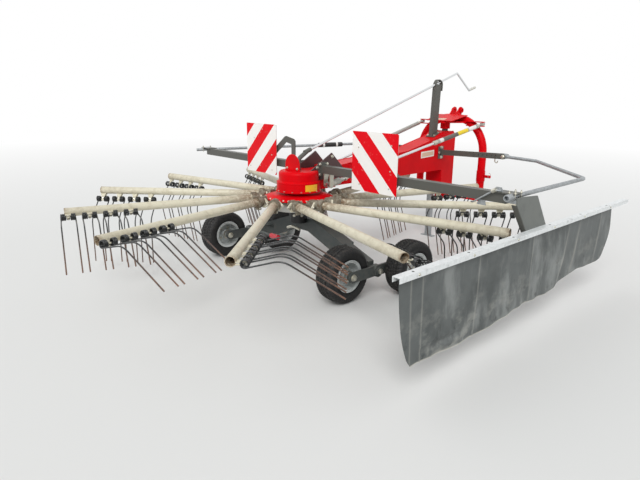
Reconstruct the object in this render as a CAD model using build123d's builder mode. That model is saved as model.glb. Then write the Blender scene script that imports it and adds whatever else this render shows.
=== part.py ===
from build123d import *
import os
from math import cos, radians, sin

# A rotary rake carried on a three-point headstock, in millimetres.
# Everything is built about the rotor's axis: X to the machine's right, Y ahead, Z up from the ground.
# Each finished piece is then shifted so that the origin is under the middle of the footprint.

# Clearances
running = 0.05
seat = 0.3

# Tine arms: one tube each, set beside the rotor's axis and turned about its own length
arm_count = 12
first_arm_direction = -46.94
arm_height = 640.0
arm_offset = 147.0
arm_start = 345.0
arm_end = 1700.0
arm_radius = 30.0
arm_wall = 5.0
# How far each arm is turned down from its raised rest, in degrees, in order round the rotor
arm_lowered = [0.0, 22.0, 50.0, 70.0, 74.0, 74.0, 74.0, 74.0, 70.0, 57.0, 12.0, 0.0]

# Double tines: a clip between two coils, with a bent wire from each coil
tines_per_arm = 4
tine_pitch = 136.0
outer_clip = 1678.0
clip_base_width = 40.0
clip_thickness = 10.0
coil_reach = 78.0
coil_drop = 3.0
coil_radius = 25.5
coil_length = 40.0
coil_gap = 22.0
wire_radius = 4.8
wire_rise = 13.9
wire_bend = 45.0
wire_bend_radius = 120.0
wire_upper = 188.0
wire_lower = 365.0
wire_inset = 1.2
clip_nose = 15.0

# Rotor hub
drum_radius = 235.0
drum_bottom = 565.0
drum_top = 650.0
dish_radius = 275.0
dish_crown_radius = 205.0
dish_crown_rise = 26.0
dish_thickness = 7.0
collar_radius = 42.0
collar_length = 42.0
carrier_radius = 37.0
carrier_start = 188.0
stub_reach = 80.0

# Fixed post and the gear housing above the rotor
post_radius = 62.0
post_bottom = 440.0
post_flange_radius = 100.0
post_flange_thickness = 22.0
housing_bottom = 702.0
housing_radius = 173.0
housing_wall_height = 74.0
housing_lip = 9.0
hood_radius = 158.0
hood_height = 86.0
hood_front = 330.0
hood_dome = 26.0
shield_width = 160.0
shield_thickness = 8.0
shield_top = 986.0
shield_place = -58.0
part_gap = 6.0

# Boom: a folded box, open below, with a deep nose in front
boom_half_width = 92.0
boom_plate = 8.0
boom_rear = 250.0
boom_bottom = 716.0
boom_rear_top = 876.0
boom_rise_start = 1250.0
boom_rise_height = 936.0
boom_crest = 1700.0
boom_crest_height = 1036.0
nose_rear = 1800.0
nose_front = 2000.0
nose_top = 1092.0
nose_rear_top = 1078.0
nose_corner = 40.0
nose_bottom = 470.0

# Side plates that hold the boom on the housing
side_plate_thickness = 10.0
side_plate_rear = 40.0
side_plate_foot = 135.0
side_plate_front = 440.0
side_plate_peak = 265.0
side_plate_peak_height = 988.0
side_plate_bottom = 782.0
side_plate_front_rise = 33.0

# Drive line inside the boom
shaft_height = 748.0
shaft_radius = 17.5
shaft_core_radius = 16.0
shaft_guard_radius = 33.0
shaft_guard_wall = 4.0
shaft_end = 2113.0
shaft_stub = 95.0

# Chassis under the rotor
axle_place = 90.0
wheel_track_half = 770.0
axle_crown = 478.0
axle_crown_half = 120.0
axle_depth = 60.0
axle_web_depth = 110.0
axle_web_half = 480.0
axle_end_height = 262.0
axle_arch_height = 372.0
axle_arch_half = 70.0
axle_foot_half = 625.0
axle_foot_height = 160.0
axle_end_reach = 712.0
axle_pin_radius = 25.0
axle_pin_cap_radius = 32.0
axle_pin_cap = 12.0
tyre_radius = 205.0
tyre_width = 165.0
tyre_crown_half = 58.0
tyre_bead_half = 64.0
rim_radius = 104.0
rim_flange = 12.0
rim_wall = 5.0
wheel_offset = 103.0
wheel_behind = 250.0
wheel_ahead = 250.0
spindle_radius = 17.5
hub_radius = 38.0
hub_half_length = 62.0
rocker_thickness = 16.0
rocker_height = 78.0
rocker_boss_radius = 46.0
rocker_boss_length = 44.0

# Headstock on a standing pin in the nose
swivel_place = 1950.0
swivel_pin_radius = 30.0
swivel_top = 1205.0
swivel_bottom = 396.0
swivel_seat_depth = 90.0
swivel_sleeve_radius = 48.0
swivel_sleeve_length = 58.0
arch_radius = 38.0
arch_place = 2080.0
arch_half_width = 372.0
arch_top = 1217.0
arch_corner = 330.0
arch_foot = 452.0
cross_beam_half_height = 26.0
cross_beam_depth = 84.0
cross_beam_tongue_half = 62.0
cross_beam_height = 436.0
crown_plate_thickness = 16.0
crown_plate_half = 200.0
crown_plate_rear = 1830.0
lower_pin_height = 660.0
lower_pin_radius = 14.3
lower_pin_length = 62.0
lower_pin_relief = 2.0
lower_pin_relief_width = 6.0
top_link_place = 2150.0
top_link_height = 1290.0
top_link_bore = 12.75
top_link_half_gap = 30.0
top_link_ear = 12.0
top_link_ear_radius = 34.0

# Dampers between the headstock and the housing
damper_front = (360.0, 2050.0, 1168.0)
damper_rear = (186.0, 150.0, 752.0)
damper_barrel_radius = 19.0
damper_rod_radius = 11.0
damper_barrel_share = 0.36
damper_eye_radius = 24.0
damper_eye_width = 24.0
damper_pin_radius = 10.0
damper_rear_slack = 5.0
damper_rear_gap = 56.0
damper_ear = 8.0
damper_neck = 72.0
damper_neck_radius = 8.0
damper_ear_play = 4.0
damper_ear_root = 190.0
damper_bore_play = 0.5
damper_pin_lean = 2.373
damper_rod_hold = 300.0
damper_stroke = 120.0

# Height crank and its post
crank_radius = 10.0
crank_start = (0.0, 92.0, 1006.0)
crank_bend = (0.0, 2095.0, 1651.0)
crank_elbow = (0.0, 2332.0, 1489.0)
crank_end = (0.0, 2440.0, 1518.0)
crank_grip_radius = 12.0
crank_joint_radius = 17.0
crank_joint_knee = 950.0
crank_joint_bend = 40.0
crank_post_place = 1748.0
crank_post_depth = 84.0
crank_post_width = 40.0
crank_post_top = 1538.0
crank_post_lean = 20.0

# Guard frames at both sides, folding up about a hinge near the boards and one at the front bar
right_reach = 1700.0
left_reach = 1600.0
guard_hinge = 800.0
guard_hinge_height = 915.0
guard_hinge_radius = 10.0
guard_ear_thickness = 8.0
guard_ear_radius = 22.0
beam_size = 60.0
beam_wall = 5.0
beam_top = 897.0
beam_place = 165.0
beam_lug = 6.0
beam_lug_inset = 70.0
beam_lug_outset = 55.0
beam_lug_depth = 90.0

# Guard tubes: the right one has a knee and a corner, the left one runs straight back
tube_radius = 14.0
tube_front_place = 1735.0
tube_bend_radius = 60.0
tube_eye_width = 60.0
right_tube_knee = (1100.0, 1720.0, 905.0)
right_tube_corner = (1715.0, 1180.0)
right_tube_outset = 35.0
right_tube_rear = 90.0
left_tube_knee = (870.0, 1735.0, 913.0)
left_tube_outset = 89.0
left_tube_drop = 3.0
left_tube_rear = 70.0

# Front bars, from the nose out to the guard tubes' hinges
front_bar_height = 50.0
front_bar_thickness = 26.0
front_bar_root_place = 1765.0
front_bar_root_height = 892.0
front_bar_foot_width = 80.0
front_bar_foot_height = 120.0
front_bar_end_gap = 34.0
front_bar_hole = 6.5
front_bar_hole_pitch = 45.0

# Warning boards
board_size = 423.0
board_thickness = 3.0
board_place = 100.0
right_board_centre = 701.0
left_board_centre = 619.0
board_middle_height = 978.0
board_bracket = 40.0
board_bracket_inset = 40.0
board_bracket_thickness = 6.0

# Swath curtain outside the right-hand guard beam
curtain_outset = 92.0
curtain_rail_width = 46.0
curtain_rail_height = 28.0
curtain_rail_wall = 4.0
curtain_rail_top = 665.0
curtain_rear = -956.0
curtain_front = 1850.0
curtain_bottom = 160.0
curtain_thickness = 5.0
curtain_arm_length = 470.0
curtain_arm_height = 22.0
curtain_arm_wall = 4.0
bracket_plate = 8.0
bracket_top = 880.0
bracket_head = (380.0, 866.0)
bracket_foot = (300.0, 556.0)

# Parking stand inside the nose
stand_place = 1840.0
stand_side = -50.0
stand_size = 50.0
stand_wall = 4.0
stand_top = 660.0
stand_foot = 150.0
stand_foot_thickness = 8.0
stand_socket_wall = 6.0
stand_socket_top = 600.0

# Lever beside the axle
lever_side = -400.0
lever_height = 330.0
lever_elbow = (-400.0, -255.0, 372.0)
lever_tip = (151.0, -330.0, 400.0)
lever_radius = 9.0
lever_bend = 70.0
lever_grip_radius = 19.0
lever_grip_length = 110.0


def turned(x, y, angle):
    """A point of the plan, turned about the rotor's axis."""
    c = cos(radians(angle))
    s = sin(radians(angle))
    return (x * c - y * s, x * s + y * c)


def arm_plane(direction, along=0.0):
    """The plane square to an arm: x trails behind it, y is up and z runs out along it."""
    x, y = turned(along, -arm_offset, direction)
    trail = turned(0, 1, direction)
    out = turned(1, 0, direction)
    return Plane(origin=(x, y, arm_height), x_dir=(*trail, 0), z_dir=(*out, 0))


def side_plane(x):
    """The plane of a piece seen from the machine's side: x is ahead, y is up, extruded to the right."""
    return Plane(origin=(x, 0, 0), x_dir=(0, 1, 0), z_dir=(1, 0, 0))


def rear_plane(y):
    """The plane of a piece seen from behind: x is right, y is up, extruded to the rear."""
    return Plane(origin=(0, y, 0), x_dir=(1, 0, 0), z_dir=(0, -1, 0))


def rod_plane(start, end):
    """The plane at a rod's start, square to the rod."""
    return Plane(origin=start, z_dir=Vector(*end) - Vector(*start))


def span(start, end):
    """The distance between two points."""
    return (Vector(*end) - Vector(*start)).length


def damper_pin_plane(way):
    """The plane across a damper's front pin, which leans with the swing's axis."""
    lean = (way * sin(radians(damper_pin_lean)), 0, cos(radians(damper_pin_lean)))
    x, y, z = damper_front
    return Plane(origin=(way * x, y, z), z_dir=lean)


pieces = []


def keep(shape, name):
    """Name a finished piece and put it on the list that is written at the end."""
    shape.label = name
    pieces.append(shape)
    return shape


# Wire path in the plane of the clip, from under the coil to the tip
wire_ring = coil_radius - wire_radius - wire_inset
wire_start = (
    coil_reach + wire_ring * sin(radians(wire_rise)),
    -coil_drop - wire_ring * cos(radians(wire_rise)),
)
wire_corner = (
    wire_start[0] + wire_upper * cos(radians(wire_rise)),
    wire_start[1] + wire_upper * sin(radians(wire_rise)),
)
wire_tip = (
    wire_corner[0] + wire_lower * cos(radians(wire_rise - wire_bend)),
    wire_corner[1] + wire_lower * sin(radians(wire_rise - wire_bend)),
)
coil_centre = coil_gap / 2 + coil_length / 2
wire_from_clip = coil_gap / 2 + coil_length - wire_radius - wire_inset

with BuildPart() as double_tine:
    with BuildSketch(Plane.XZ.offset(coil_drop - clip_thickness / 2)):
        with BuildLine():
            Polyline(
                (arm_radius - arm_wall / 2, -clip_base_width / 2),
                (arm_radius - arm_wall / 2, clip_base_width / 2),
                (coil_reach, coil_gap / 2 + 1),
                (coil_reach + clip_nose, coil_gap / 2 + 1),
                (coil_reach + clip_nose, -coil_gap / 2 - 1),
                (coil_reach, -coil_gap / 2 - 1),
                close=True,
            )
        make_face()
    extrude(amount=clip_thickness)
    with Locations((coil_reach, -coil_drop, coil_centre), (coil_reach, -coil_drop, -coil_centre)):
        Cylinder(coil_radius, coil_length)
    for side in (-1, 1):
        with BuildLine() as wire_line:
            FilletPolyline(
                (*wire_start, side * wire_from_clip),
                (*wire_corner, side * wire_from_clip),
                (*wire_tip, side * wire_from_clip),
                radius=wire_bend_radius,
            )
        with BuildSketch(Plane(origin=wire_line.line @ 0, z_dir=wire_line.line % 0)):
            Circle(wire_radius)
        sweep(path=wire_line.line)
    # Saddle that the arm's tube fills
    Cylinder(arm_radius, 2 * clip_base_width, mode=Mode.SUBTRACT)

arm_tubes = []
tines = []
for number, lowered in enumerate(arm_lowered):
    place = arm_plane(first_arm_direction + number * 360 / arm_count).location
    with BuildPart() as arm:
        with BuildSketch(Plane.XY.offset(arm_start)):
            Circle(arm_radius)
            Circle(arm_radius - arm_wall, mode=Mode.SUBTRACT)
        extrude(amount=arm_end - arm_start)
    arm_tubes.append(place * arm.part)
    for row in range(tines_per_arm):
        seat_on_arm = Location((0, 0, outer_clip - row * tine_pitch), (0, 0, -lowered))
        tines.append(place * seat_on_arm * double_tine.part)
keep(Compound(children=arm_tubes), "tine_arms")
keep(Compound(children=tines), "spring_tines")

# Rotor drum, dish and the arms' carriers
with BuildPart() as drum:
    with BuildSketch(Plane.XY.offset(drum_bottom)):
        Circle(drum_radius)
        Circle(post_radius + running, mode=Mode.SUBTRACT)
    extrude(amount=drum_top - drum_bottom)
    chamfer(drum.edges().filter_by(GeomType.CIRCLE).group_by(SortBy.RADIUS)[-1], 6)
keep(drum.part, "rotor_drum")

with BuildPart() as dish:
    with BuildSketch(Plane.XZ):
        with BuildLine():
            Polyline(
                (post_radius + part_gap, drum_top),
                (dish_radius, drum_top),
                (dish_radius, drum_top + dish_thickness),
                (dish_crown_radius, drum_top + dish_crown_rise),
                (post_radius + part_gap, drum_top + dish_crown_rise + dish_thickness),
                close=True,
            )
        make_face()
    revolve(axis=Axis.Z)
keep(dish.part, "rotor_dish")

with BuildPart() as carriers:
    for number in range(arm_count):
        plane = arm_plane(first_arm_direction + number * 360 / arm_count)
        with BuildSketch(plane.offset(carrier_start)):
            Circle(carrier_radius)
        extrude(amount=arm_start - carrier_start)
        with BuildSketch(plane.offset(arm_start - collar_length)):
            Circle(collar_radius)
        extrude(amount=collar_length)
        with BuildSketch(plane.offset(arm_start)):
            Circle(arm_radius - arm_wall - seat)
        extrude(amount=stub_reach)
    with BuildSketch(Plane.XY.offset(drum_bottom)):
        Circle(drum_radius)
    extrude(amount=drum_top - drum_bottom, mode=Mode.SUBTRACT)
    with BuildSketch(Plane.XY.offset(drum_top)):
        Circle(dish_radius + seat)
    extrude(amount=carrier_radius, mode=Mode.SUBTRACT)
keep(carriers.part, "arm_carriers")

# Post that the rotor turns on
with BuildPart() as post:
    with BuildSketch(Plane.XY.offset(post_bottom)):
        Circle(post_radius)
    extrude(amount=housing_bottom - post_bottom)
    with BuildSketch(Plane.XY.offset(drum_bottom - seat - post_flange_thickness)):
        Circle(post_flange_radius)
    extrude(amount=post_flange_thickness)
keep(post.part, "rotor_post")

# Gear housing: a low round cap under a hood that runs ahead to the boom
housing_wall_top = housing_bottom + housing_wall_height
hood_top = housing_wall_top + hood_height
with BuildPart() as housing:
    with BuildSketch(Plane.XY.offset(housing_bottom)):
        Circle(housing_radius + housing_lip)
    extrude(amount=housing_lip)
    with BuildSketch(Plane.XY.offset(housing_bottom)):
        Circle(housing_radius)
    extrude(amount=housing_wall_height)
    with BuildSketch(Plane.XY.offset(housing_bottom)):
        Circle(hood_radius)
        with Locations((0, hood_front / 2)):
            Rectangle(2 * hood_radius * 0.5, hood_front)
    extrude(amount=hood_top - housing_bottom)
    fillet(housing.faces().sort_by(Axis.Z)[-1].edges(), hood_dome)
keep(housing.part, "gear_housing")

with BuildPart() as shield:
    with BuildSketch(rear_plane(shield_place)):
        with Locations((0, (hood_top + shield_top - shield_width / 2) / 2)):
            Rectangle(shield_width, shield_top - shield_width / 2 - hood_top)
        with Locations((0, shield_top - shield_width / 2)):
            Circle(shield_width / 2)
        with Locations((0, hood_top - shield_width)):
            Rectangle(2 * shield_width, 2 * shield_width, mode=Mode.SUBTRACT)
    extrude(amount=shield_thickness)
keep(shield.part, "housing_shield")

# Boom, seen from the side, hollow and open below behind its nose
upper_seat = nose_top - nose_corner - swivel_seat_depth
with BuildPart() as boom:
    with BuildSketch(side_plane(-boom_half_width)):
        with BuildLine():
            Polyline(
                (boom_rear, boom_bottom),
                (boom_rear, boom_rear_top),
                (boom_rise_start, boom_rise_height),
                (boom_crest, boom_crest_height),
                (nose_rear, nose_rear_top),
                (nose_front - nose_corner, nose_top),
                (nose_front, nose_top - nose_corner),
                (nose_front, nose_bottom),
                (nose_rear + boom_plate, nose_bottom),
                (nose_rear, boom_bottom),
                close=True,
            )
        make_face()
    extrude(amount=2 * boom_half_width)
    with BuildSketch(side_plane(-boom_half_width + boom_plate)):
        with BuildLine():
            Polyline(
                (boom_rear - boom_plate, boom_bottom - boom_plate),
                (boom_rear - boom_plate, boom_rear_top - boom_plate),
                (boom_rise_start, boom_rise_height - boom_plate),
                (boom_crest, boom_crest_height - boom_plate),
                (nose_rear, nose_rear_top - boom_plate),
                (nose_rear, boom_bottom - boom_plate),
                close=True,
            )
        make_face()
    extrude(amount=2 * (boom_half_width - boom_plate), mode=Mode.SUBTRACT)
    # The nose is a box as well, with a boss for each standing pin
    with BuildSketch(side_plane(-boom_half_width + boom_plate)):
        with BuildLine():
            Polyline(
                (nose_rear + boom_plate, nose_bottom + boom_plate),
                (nose_rear + boom_plate, nose_rear_top - boom_plate),
                (nose_front - boom_plate - nose_corner, nose_top - boom_plate),
                (nose_front - boom_plate, nose_top - boom_plate - nose_corner),
                (nose_front - boom_plate, nose_bottom + boom_plate),
                close=True,
            )
        make_face()
    extrude(amount=2 * (boom_half_width - boom_plate), mode=Mode.SUBTRACT)
    for low in (nose_bottom, upper_seat):
        with BuildSketch(Plane.XY.offset(low)):
            with Locations((0, swivel_place)):
                Circle(swivel_sleeve_radius)
        extrude(amount=swivel_seat_depth)
    # Bore for the drive shaft through the nose
    with BuildSketch(rear_plane(nose_front)):
        with Locations((0, shaft_height)):
            Circle(shaft_core_radius + running)
    extrude(amount=nose_front - nose_rear, mode=Mode.SUBTRACT)
    # Hole for the parking stand
    with BuildSketch(Plane.XY.offset(nose_bottom)):
        with Locations((stand_side, stand_place)):
            Rectangle(stand_size + 2 * seat, stand_size + 2 * seat)
    extrude(amount=boom_plate, mode=Mode.SUBTRACT)
    # Blind bores for the two standing pins
    with BuildSketch(Plane.XY.offset(nose_bottom)):
        with Locations((0, swivel_place)):
            Circle(swivel_pin_radius)
    extrude(amount=swivel_seat_depth, mode=Mode.SUBTRACT)
    with BuildSketch(Plane.XY.offset(upper_seat)):
        with Locations((0, swivel_place)):
            Circle(swivel_pin_radius)
    extrude(amount=nose_top - upper_seat, mode=Mode.SUBTRACT)
keep(boom.part, "boom")

with BuildPart() as side_plates:
    for start in (boom_half_width, -boom_half_width - side_plate_thickness):
        with BuildSketch(side_plane(start)):
            with BuildLine():
                Polyline(
                    (side_plate_rear, hood_top),
                    (side_plate_peak, side_plate_peak_height),
                    (side_plate_front, side_plate_bottom + side_plate_front_rise),
                    (side_plate_front, side_plate_bottom),
                    (side_plate_foot, side_plate_bottom),
                    (side_plate_foot, hood_top),
                    close=True,
                )
            make_face()
        extrude(amount=side_plate_thickness)
keep(side_plates.part, "side_plates")

# Drive line: a turning shaft in a fixed guard tube, with its free end ahead of the nose
with BuildPart() as input_shaft:
    with BuildSketch(rear_plane(shaft_end)):
        with Locations((0, shaft_height)):
            Circle(shaft_core_radius)
    extrude(amount=shaft_end - hood_front - part_gap)
    with BuildSketch(rear_plane(shaft_end)):
        with Locations((0, shaft_height)):
            Circle(shaft_radius)
    extrude(amount=shaft_stub)
keep(input_shaft.part, "input_shaft")

with BuildPart() as shaft_guard:
    with BuildSketch(rear_plane(nose_rear)):
        with Locations((0, shaft_height)):
            Circle(shaft_guard_radius)
            Circle(shaft_guard_radius - shaft_guard_wall, mode=Mode.SUBTRACT)
    extrude(amount=nose_rear - hood_front)
keep(shaft_guard.part, "shaft_guard")

# Chassis: an arched axle beam with a pin at each end
with BuildPart() as axle:
    for depth, half in ((axle_depth, axle_end_reach), (axle_web_depth, axle_web_half)):
        with BuildSketch(rear_plane(axle_place + depth / 2)):
            with BuildLine():
                Polyline(
                    (-axle_crown_half, axle_crown),
                    (axle_crown_half, axle_crown),
                    (axle_end_reach, axle_end_height),
                    (axle_end_reach, axle_foot_height),
                    (axle_foot_half, axle_foot_height),
                    (axle_arch_half, axle_arch_height),
                    (-axle_arch_half, axle_arch_height),
                    (-axle_foot_half, axle_foot_height),
                    (-axle_end_reach, axle_foot_height),
                    (-axle_end_reach, axle_end_height),
                    close=True,
                )
            make_face()
            with Locations((0, axle_arch_height)):
                Rectangle(2 * half, 2 * axle_crown, mode=Mode.INTERSECT)
        extrude(amount=depth)
    # The rockers' pins, each with a cap outside its rocker
    pin_end = wheel_track_half + rocker_boss_length / 2 + seat
    for way in (-1, 1):
        with BuildSketch(side_plane(way * axle_end_reach)):
            with Locations((axle_place, tyre_radius)):
                Circle(axle_pin_radius)
        extrude(amount=way * (pin_end - axle_end_reach))
        with BuildSketch(side_plane(way * pin_end)):
            with Locations((axle_place, tyre_radius)):
                Circle(axle_pin_cap_radius)
        extrude(amount=way * axle_pin_cap)
    # Seat of the rotor's post
    with BuildSketch(Plane.XY.offset(post_bottom)):
        Circle(post_radius)
    extrude(amount=axle_crown, mode=Mode.SUBTRACT)
keep(axle.part, "axle_beam")

# Rockers: the rear wheel sits to the left of each and the front wheel to its right
rocker_sides = (("left", -wheel_track_half), ("right", wheel_track_half))
wheel_ends = (("rear", -1, -wheel_behind), ("front", 1, wheel_ahead))
for side, centre in rocker_sides:
    with BuildPart() as rocker:
        with BuildSketch(side_plane(centre - rocker_thickness / 2)):
            with Locations((axle_place + (wheel_ahead - wheel_behind) / 2, tyre_radius)):
                SlotOverall(wheel_ahead + wheel_behind + rocker_height, rocker_height)
        extrude(amount=rocker_thickness)
        with BuildSketch(side_plane(centre - rocker_boss_length / 2)):
            with Locations((axle_place, tyre_radius)):
                Circle(rocker_boss_radius)
        extrude(amount=rocker_boss_length)
        for _, way, ahead in wheel_ends:
            with BuildSketch(side_plane(centre)):
                with Locations((axle_place + ahead, tyre_radius)):
                    Circle(spindle_radius)
            extrude(amount=way * (wheel_offset + hub_half_length + part_gap))
        with BuildSketch(side_plane(centre - rocker_boss_length)):
            with Locations((axle_place, tyre_radius)):
                Circle(axle_pin_radius + running)
        extrude(amount=2 * rocker_boss_length, mode=Mode.SUBTRACT)
    keep(rocker.part, f"rocker_{side}")

with BuildPart() as tyre:
    with BuildSketch(Plane.XZ):
        with BuildLine():
            Line((-tyre_bead_half, rim_radius + seat), (tyre_bead_half, rim_radius + seat))
            Line((tyre_bead_half, rim_radius + seat), (tyre_bead_half, rim_radius + 1.4 * rim_flange))
            ThreePointArc(
                (tyre_bead_half, rim_radius + 1.4 * rim_flange),
                (tyre_width / 2, (rim_radius + tyre_radius) / 2),
                (tyre_crown_half, tyre_radius - 8),
            )
            ThreePointArc((tyre_crown_half, tyre_radius - 8), (0, tyre_radius), (-tyre_crown_half, tyre_radius - 8))
            ThreePointArc(
                (-tyre_crown_half, tyre_radius - 8),
                (-tyre_width / 2, (rim_radius + tyre_radius) / 2),
                (-tyre_bead_half, rim_radius + 1.4 * rim_flange),
            )
            Line((-tyre_bead_half, rim_radius + 1.4 * rim_flange), (-tyre_bead_half, rim_radius + seat))
        make_face()
    revolve(axis=Axis.X)

with BuildPart() as rim:
    with BuildSketch(Plane.XZ):
        with BuildLine():
            Polyline(
                (-tyre_bead_half - seat - rim_wall, rim_radius - rim_wall),
                (-tyre_bead_half - seat - rim_wall, rim_radius + rim_flange),
                (-tyre_bead_half - seat, rim_radius + rim_flange),
                (-tyre_bead_half - seat, rim_radius),
                (tyre_bead_half + seat, rim_radius),
                (tyre_bead_half + seat, rim_radius + rim_flange),
                (tyre_bead_half + seat + rim_wall, rim_radius + rim_flange),
                (tyre_bead_half + seat + rim_wall, rim_radius - rim_wall),
                (rim_wall, rim_radius - rim_wall),
                (rim_wall, hub_radius),
                (hub_half_length, hub_radius),
                (hub_half_length, spindle_radius + running),
                (-hub_half_length, spindle_radius + running),
                (-hub_half_length, hub_radius),
                (-rim_wall, hub_radius),
                (-rim_wall, rim_radius - rim_wall),
                close=True,
            )
        make_face()
    revolve(axis=Axis.X)

for side, centre in rocker_sides:
    for end, way, ahead in wheel_ends:
        place = Location((centre + way * wheel_offset, axle_place + ahead, tyre_radius))
        keep(place * tyre.part, f"tyre_{side}_{end}")
        keep(place * rim.part, f"rim_{side}_{end}")

# Standing pins in the nose
with BuildPart() as swivel_pins:
    for low, high in (
        (upper_seat, swivel_top),
        (swivel_bottom, nose_bottom + swivel_seat_depth),
    ):
        with BuildSketch(Plane.XY.offset(low)):
            with Locations((0, swivel_place)):
                Circle(swivel_pin_radius)
        extrude(amount=high - low)
keep(swivel_pins.part, "swivel_pins")

# Headstock: an arched tube over a cross beam, with the crown plate, damper ears and link points
crown_bottom = arch_top - arch_radius - crown_plate_thickness / 2
damper_ear_gap = damper_eye_width / 2 + damper_ear_play
damper_ear_low = damper_front[2] - damper_ear_gap - damper_ear
with BuildPart() as headstock:
    with BuildLine(Plane.XZ.offset(-arch_place)) as arch_line:
        FilletPolyline(
            (-arch_half_width, arch_foot),
            (-arch_half_width, arch_top),
            (arch_half_width, arch_top),
            (arch_half_width, arch_foot),
            radius=arch_corner,
        )
    with BuildSketch(Plane.XY.offset(arch_foot)):
        with Locations((-arch_half_width, arch_place)):
            Circle(arch_radius)
    sweep(path=arch_line.line)
    with BuildSketch(Plane.XY.offset(cross_beam_height - cross_beam_half_height)):
        with Locations((0, arch_place)):
            Rectangle(2 * (arch_half_width + arch_radius), cross_beam_depth)
        with Locations((0, (swivel_place + arch_place) / 2)):
            Rectangle(2 * cross_beam_tongue_half, arch_place - swivel_place)
        with Locations((0, swivel_place)):
            Circle(cross_beam_tongue_half)
    extrude(amount=2 * cross_beam_half_height)
    # Crown plate, pointed to the rear
    with BuildSketch(Plane.XY.offset(crown_bottom)):
        with BuildLine():
            Polyline(
                (-crown_plate_half, arch_place),
                (crown_plate_half, arch_place),
                (swivel_sleeve_radius, crown_plate_rear),
                (-swivel_sleeve_radius, crown_plate_rear),
                close=True,
            )
        make_face()
    extrude(amount=crown_plate_thickness)
    with BuildSketch(Plane.XY.offset(crown_bottom - swivel_sleeve_length)):
        with Locations((0, swivel_place)):
            Circle(swivel_sleeve_radius)
    extrude(amount=swivel_sleeve_length)
    # Top link ears
    for start in (top_link_half_gap, -top_link_half_gap - top_link_ear):
        with BuildSketch(side_plane(start)):
            with Locations((arch_place, arch_top), (top_link_place, top_link_height)):
                Circle(top_link_ear_radius)
            make_hull()
            with Locations((top_link_place, top_link_height)):
                Circle(top_link_bore, mode=Mode.SUBTRACT)
        extrude(amount=top_link_ear)
    # Link pins and damper ears at both sides
    for way in (-1, 1):
        pin_root = arch_half_width + arch_radius + lower_pin_relief_width
        with BuildSketch(side_plane(way * arch_half_width)):
            with Locations((arch_place, lower_pin_height)):
                Circle(lower_pin_radius - lower_pin_relief)
        extrude(amount=way * (pin_root - arch_half_width))
        with BuildSketch(side_plane(way * pin_root)):
            with Locations((arch_place, lower_pin_height)):
                Circle(lower_pin_radius)
        extrude(amount=way * lower_pin_length)
        for low in (damper_ear_low, damper_front[2] + damper_ear_gap):
            with BuildSketch(Plane.XY.offset(low)):
                with Locations((way * (damper_front[0] + damper_ear_root) / 2, damper_front[1])):
                    Rectangle(damper_front[0] - damper_ear_root, 2 * damper_eye_radius)
                with Locations((way * damper_front[0], damper_front[1])):
                    Circle(damper_eye_radius)
            extrude(amount=damper_ear)
        with BuildSketch(damper_pin_plane(way)):
            Circle(damper_pin_radius)
        extrude(amount=damper_ear + damper_ear_gap, both=True)
    # Bores for the standing pins
    with BuildSketch(Plane.XY.offset(swivel_bottom)):
        with Locations((0, swivel_place)):
            Circle(swivel_pin_radius + running)
    extrude(amount=swivel_top - swivel_bottom, mode=Mode.SUBTRACT)
keep(headstock.part, "headstock")

# Dampers: a barrel on the headstock's ear and a rod that ends in an eye at the housing
damper_length = span(damper_front, damper_rear)
barrel_end = damper_length * damper_barrel_share
for side, way in (("left", -1), ("right", 1)):
    front = (way * damper_front[0], damper_front[1], damper_front[2])
    rear = (way * damper_rear[0], damper_rear[1], damper_rear[2])
    with BuildPart() as barrel:
        with BuildSketch(Plane.XY.offset(damper_front[2] - damper_eye_width / 2)):
            with Locations(front[:2]):
                Circle(damper_eye_radius)
        extrude(amount=damper_eye_width)
        with BuildSketch(rod_plane(front, rear)):
            Circle(damper_neck_radius)
        extrude(amount=damper_neck)
        with BuildSketch(rod_plane(front, rear).offset(damper_neck)):
            Circle(damper_barrel_radius)
        extrude(amount=barrel_end - damper_neck)
        with BuildSketch(rod_plane(front, rear).offset(barrel_end)):
            Circle(damper_rod_radius + running)
        extrude(amount=-damper_rod_hold - damper_stroke, mode=Mode.SUBTRACT)
        with BuildSketch(damper_pin_plane(way)):
            Circle(damper_pin_radius + damper_bore_play)
        extrude(amount=2 * damper_eye_width, both=True, mode=Mode.SUBTRACT)
    keep(barrel.part, f"damper_barrel_{side}")
    with BuildPart() as rod:
        with BuildSketch(rod_plane(front, rear).offset(barrel_end - damper_rod_hold)):
            Circle(damper_rod_radius)
        extrude(amount=damper_length - barrel_end + damper_rod_hold)
        with BuildSketch(side_plane(rear[0] - damper_eye_width / 2)):
            with Locations(rear[1:]):
                Circle(damper_eye_radius)
        extrude(amount=damper_eye_width)
        with BuildSketch(side_plane(rear[0] - damper_eye_width)):
            with Locations(rear[1:]):
                Circle(damper_pin_radius + damper_rear_slack)
        extrude(amount=2 * damper_eye_width, mode=Mode.SUBTRACT)
    keep(rod.part, f"damper_rod_{side}")

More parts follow.
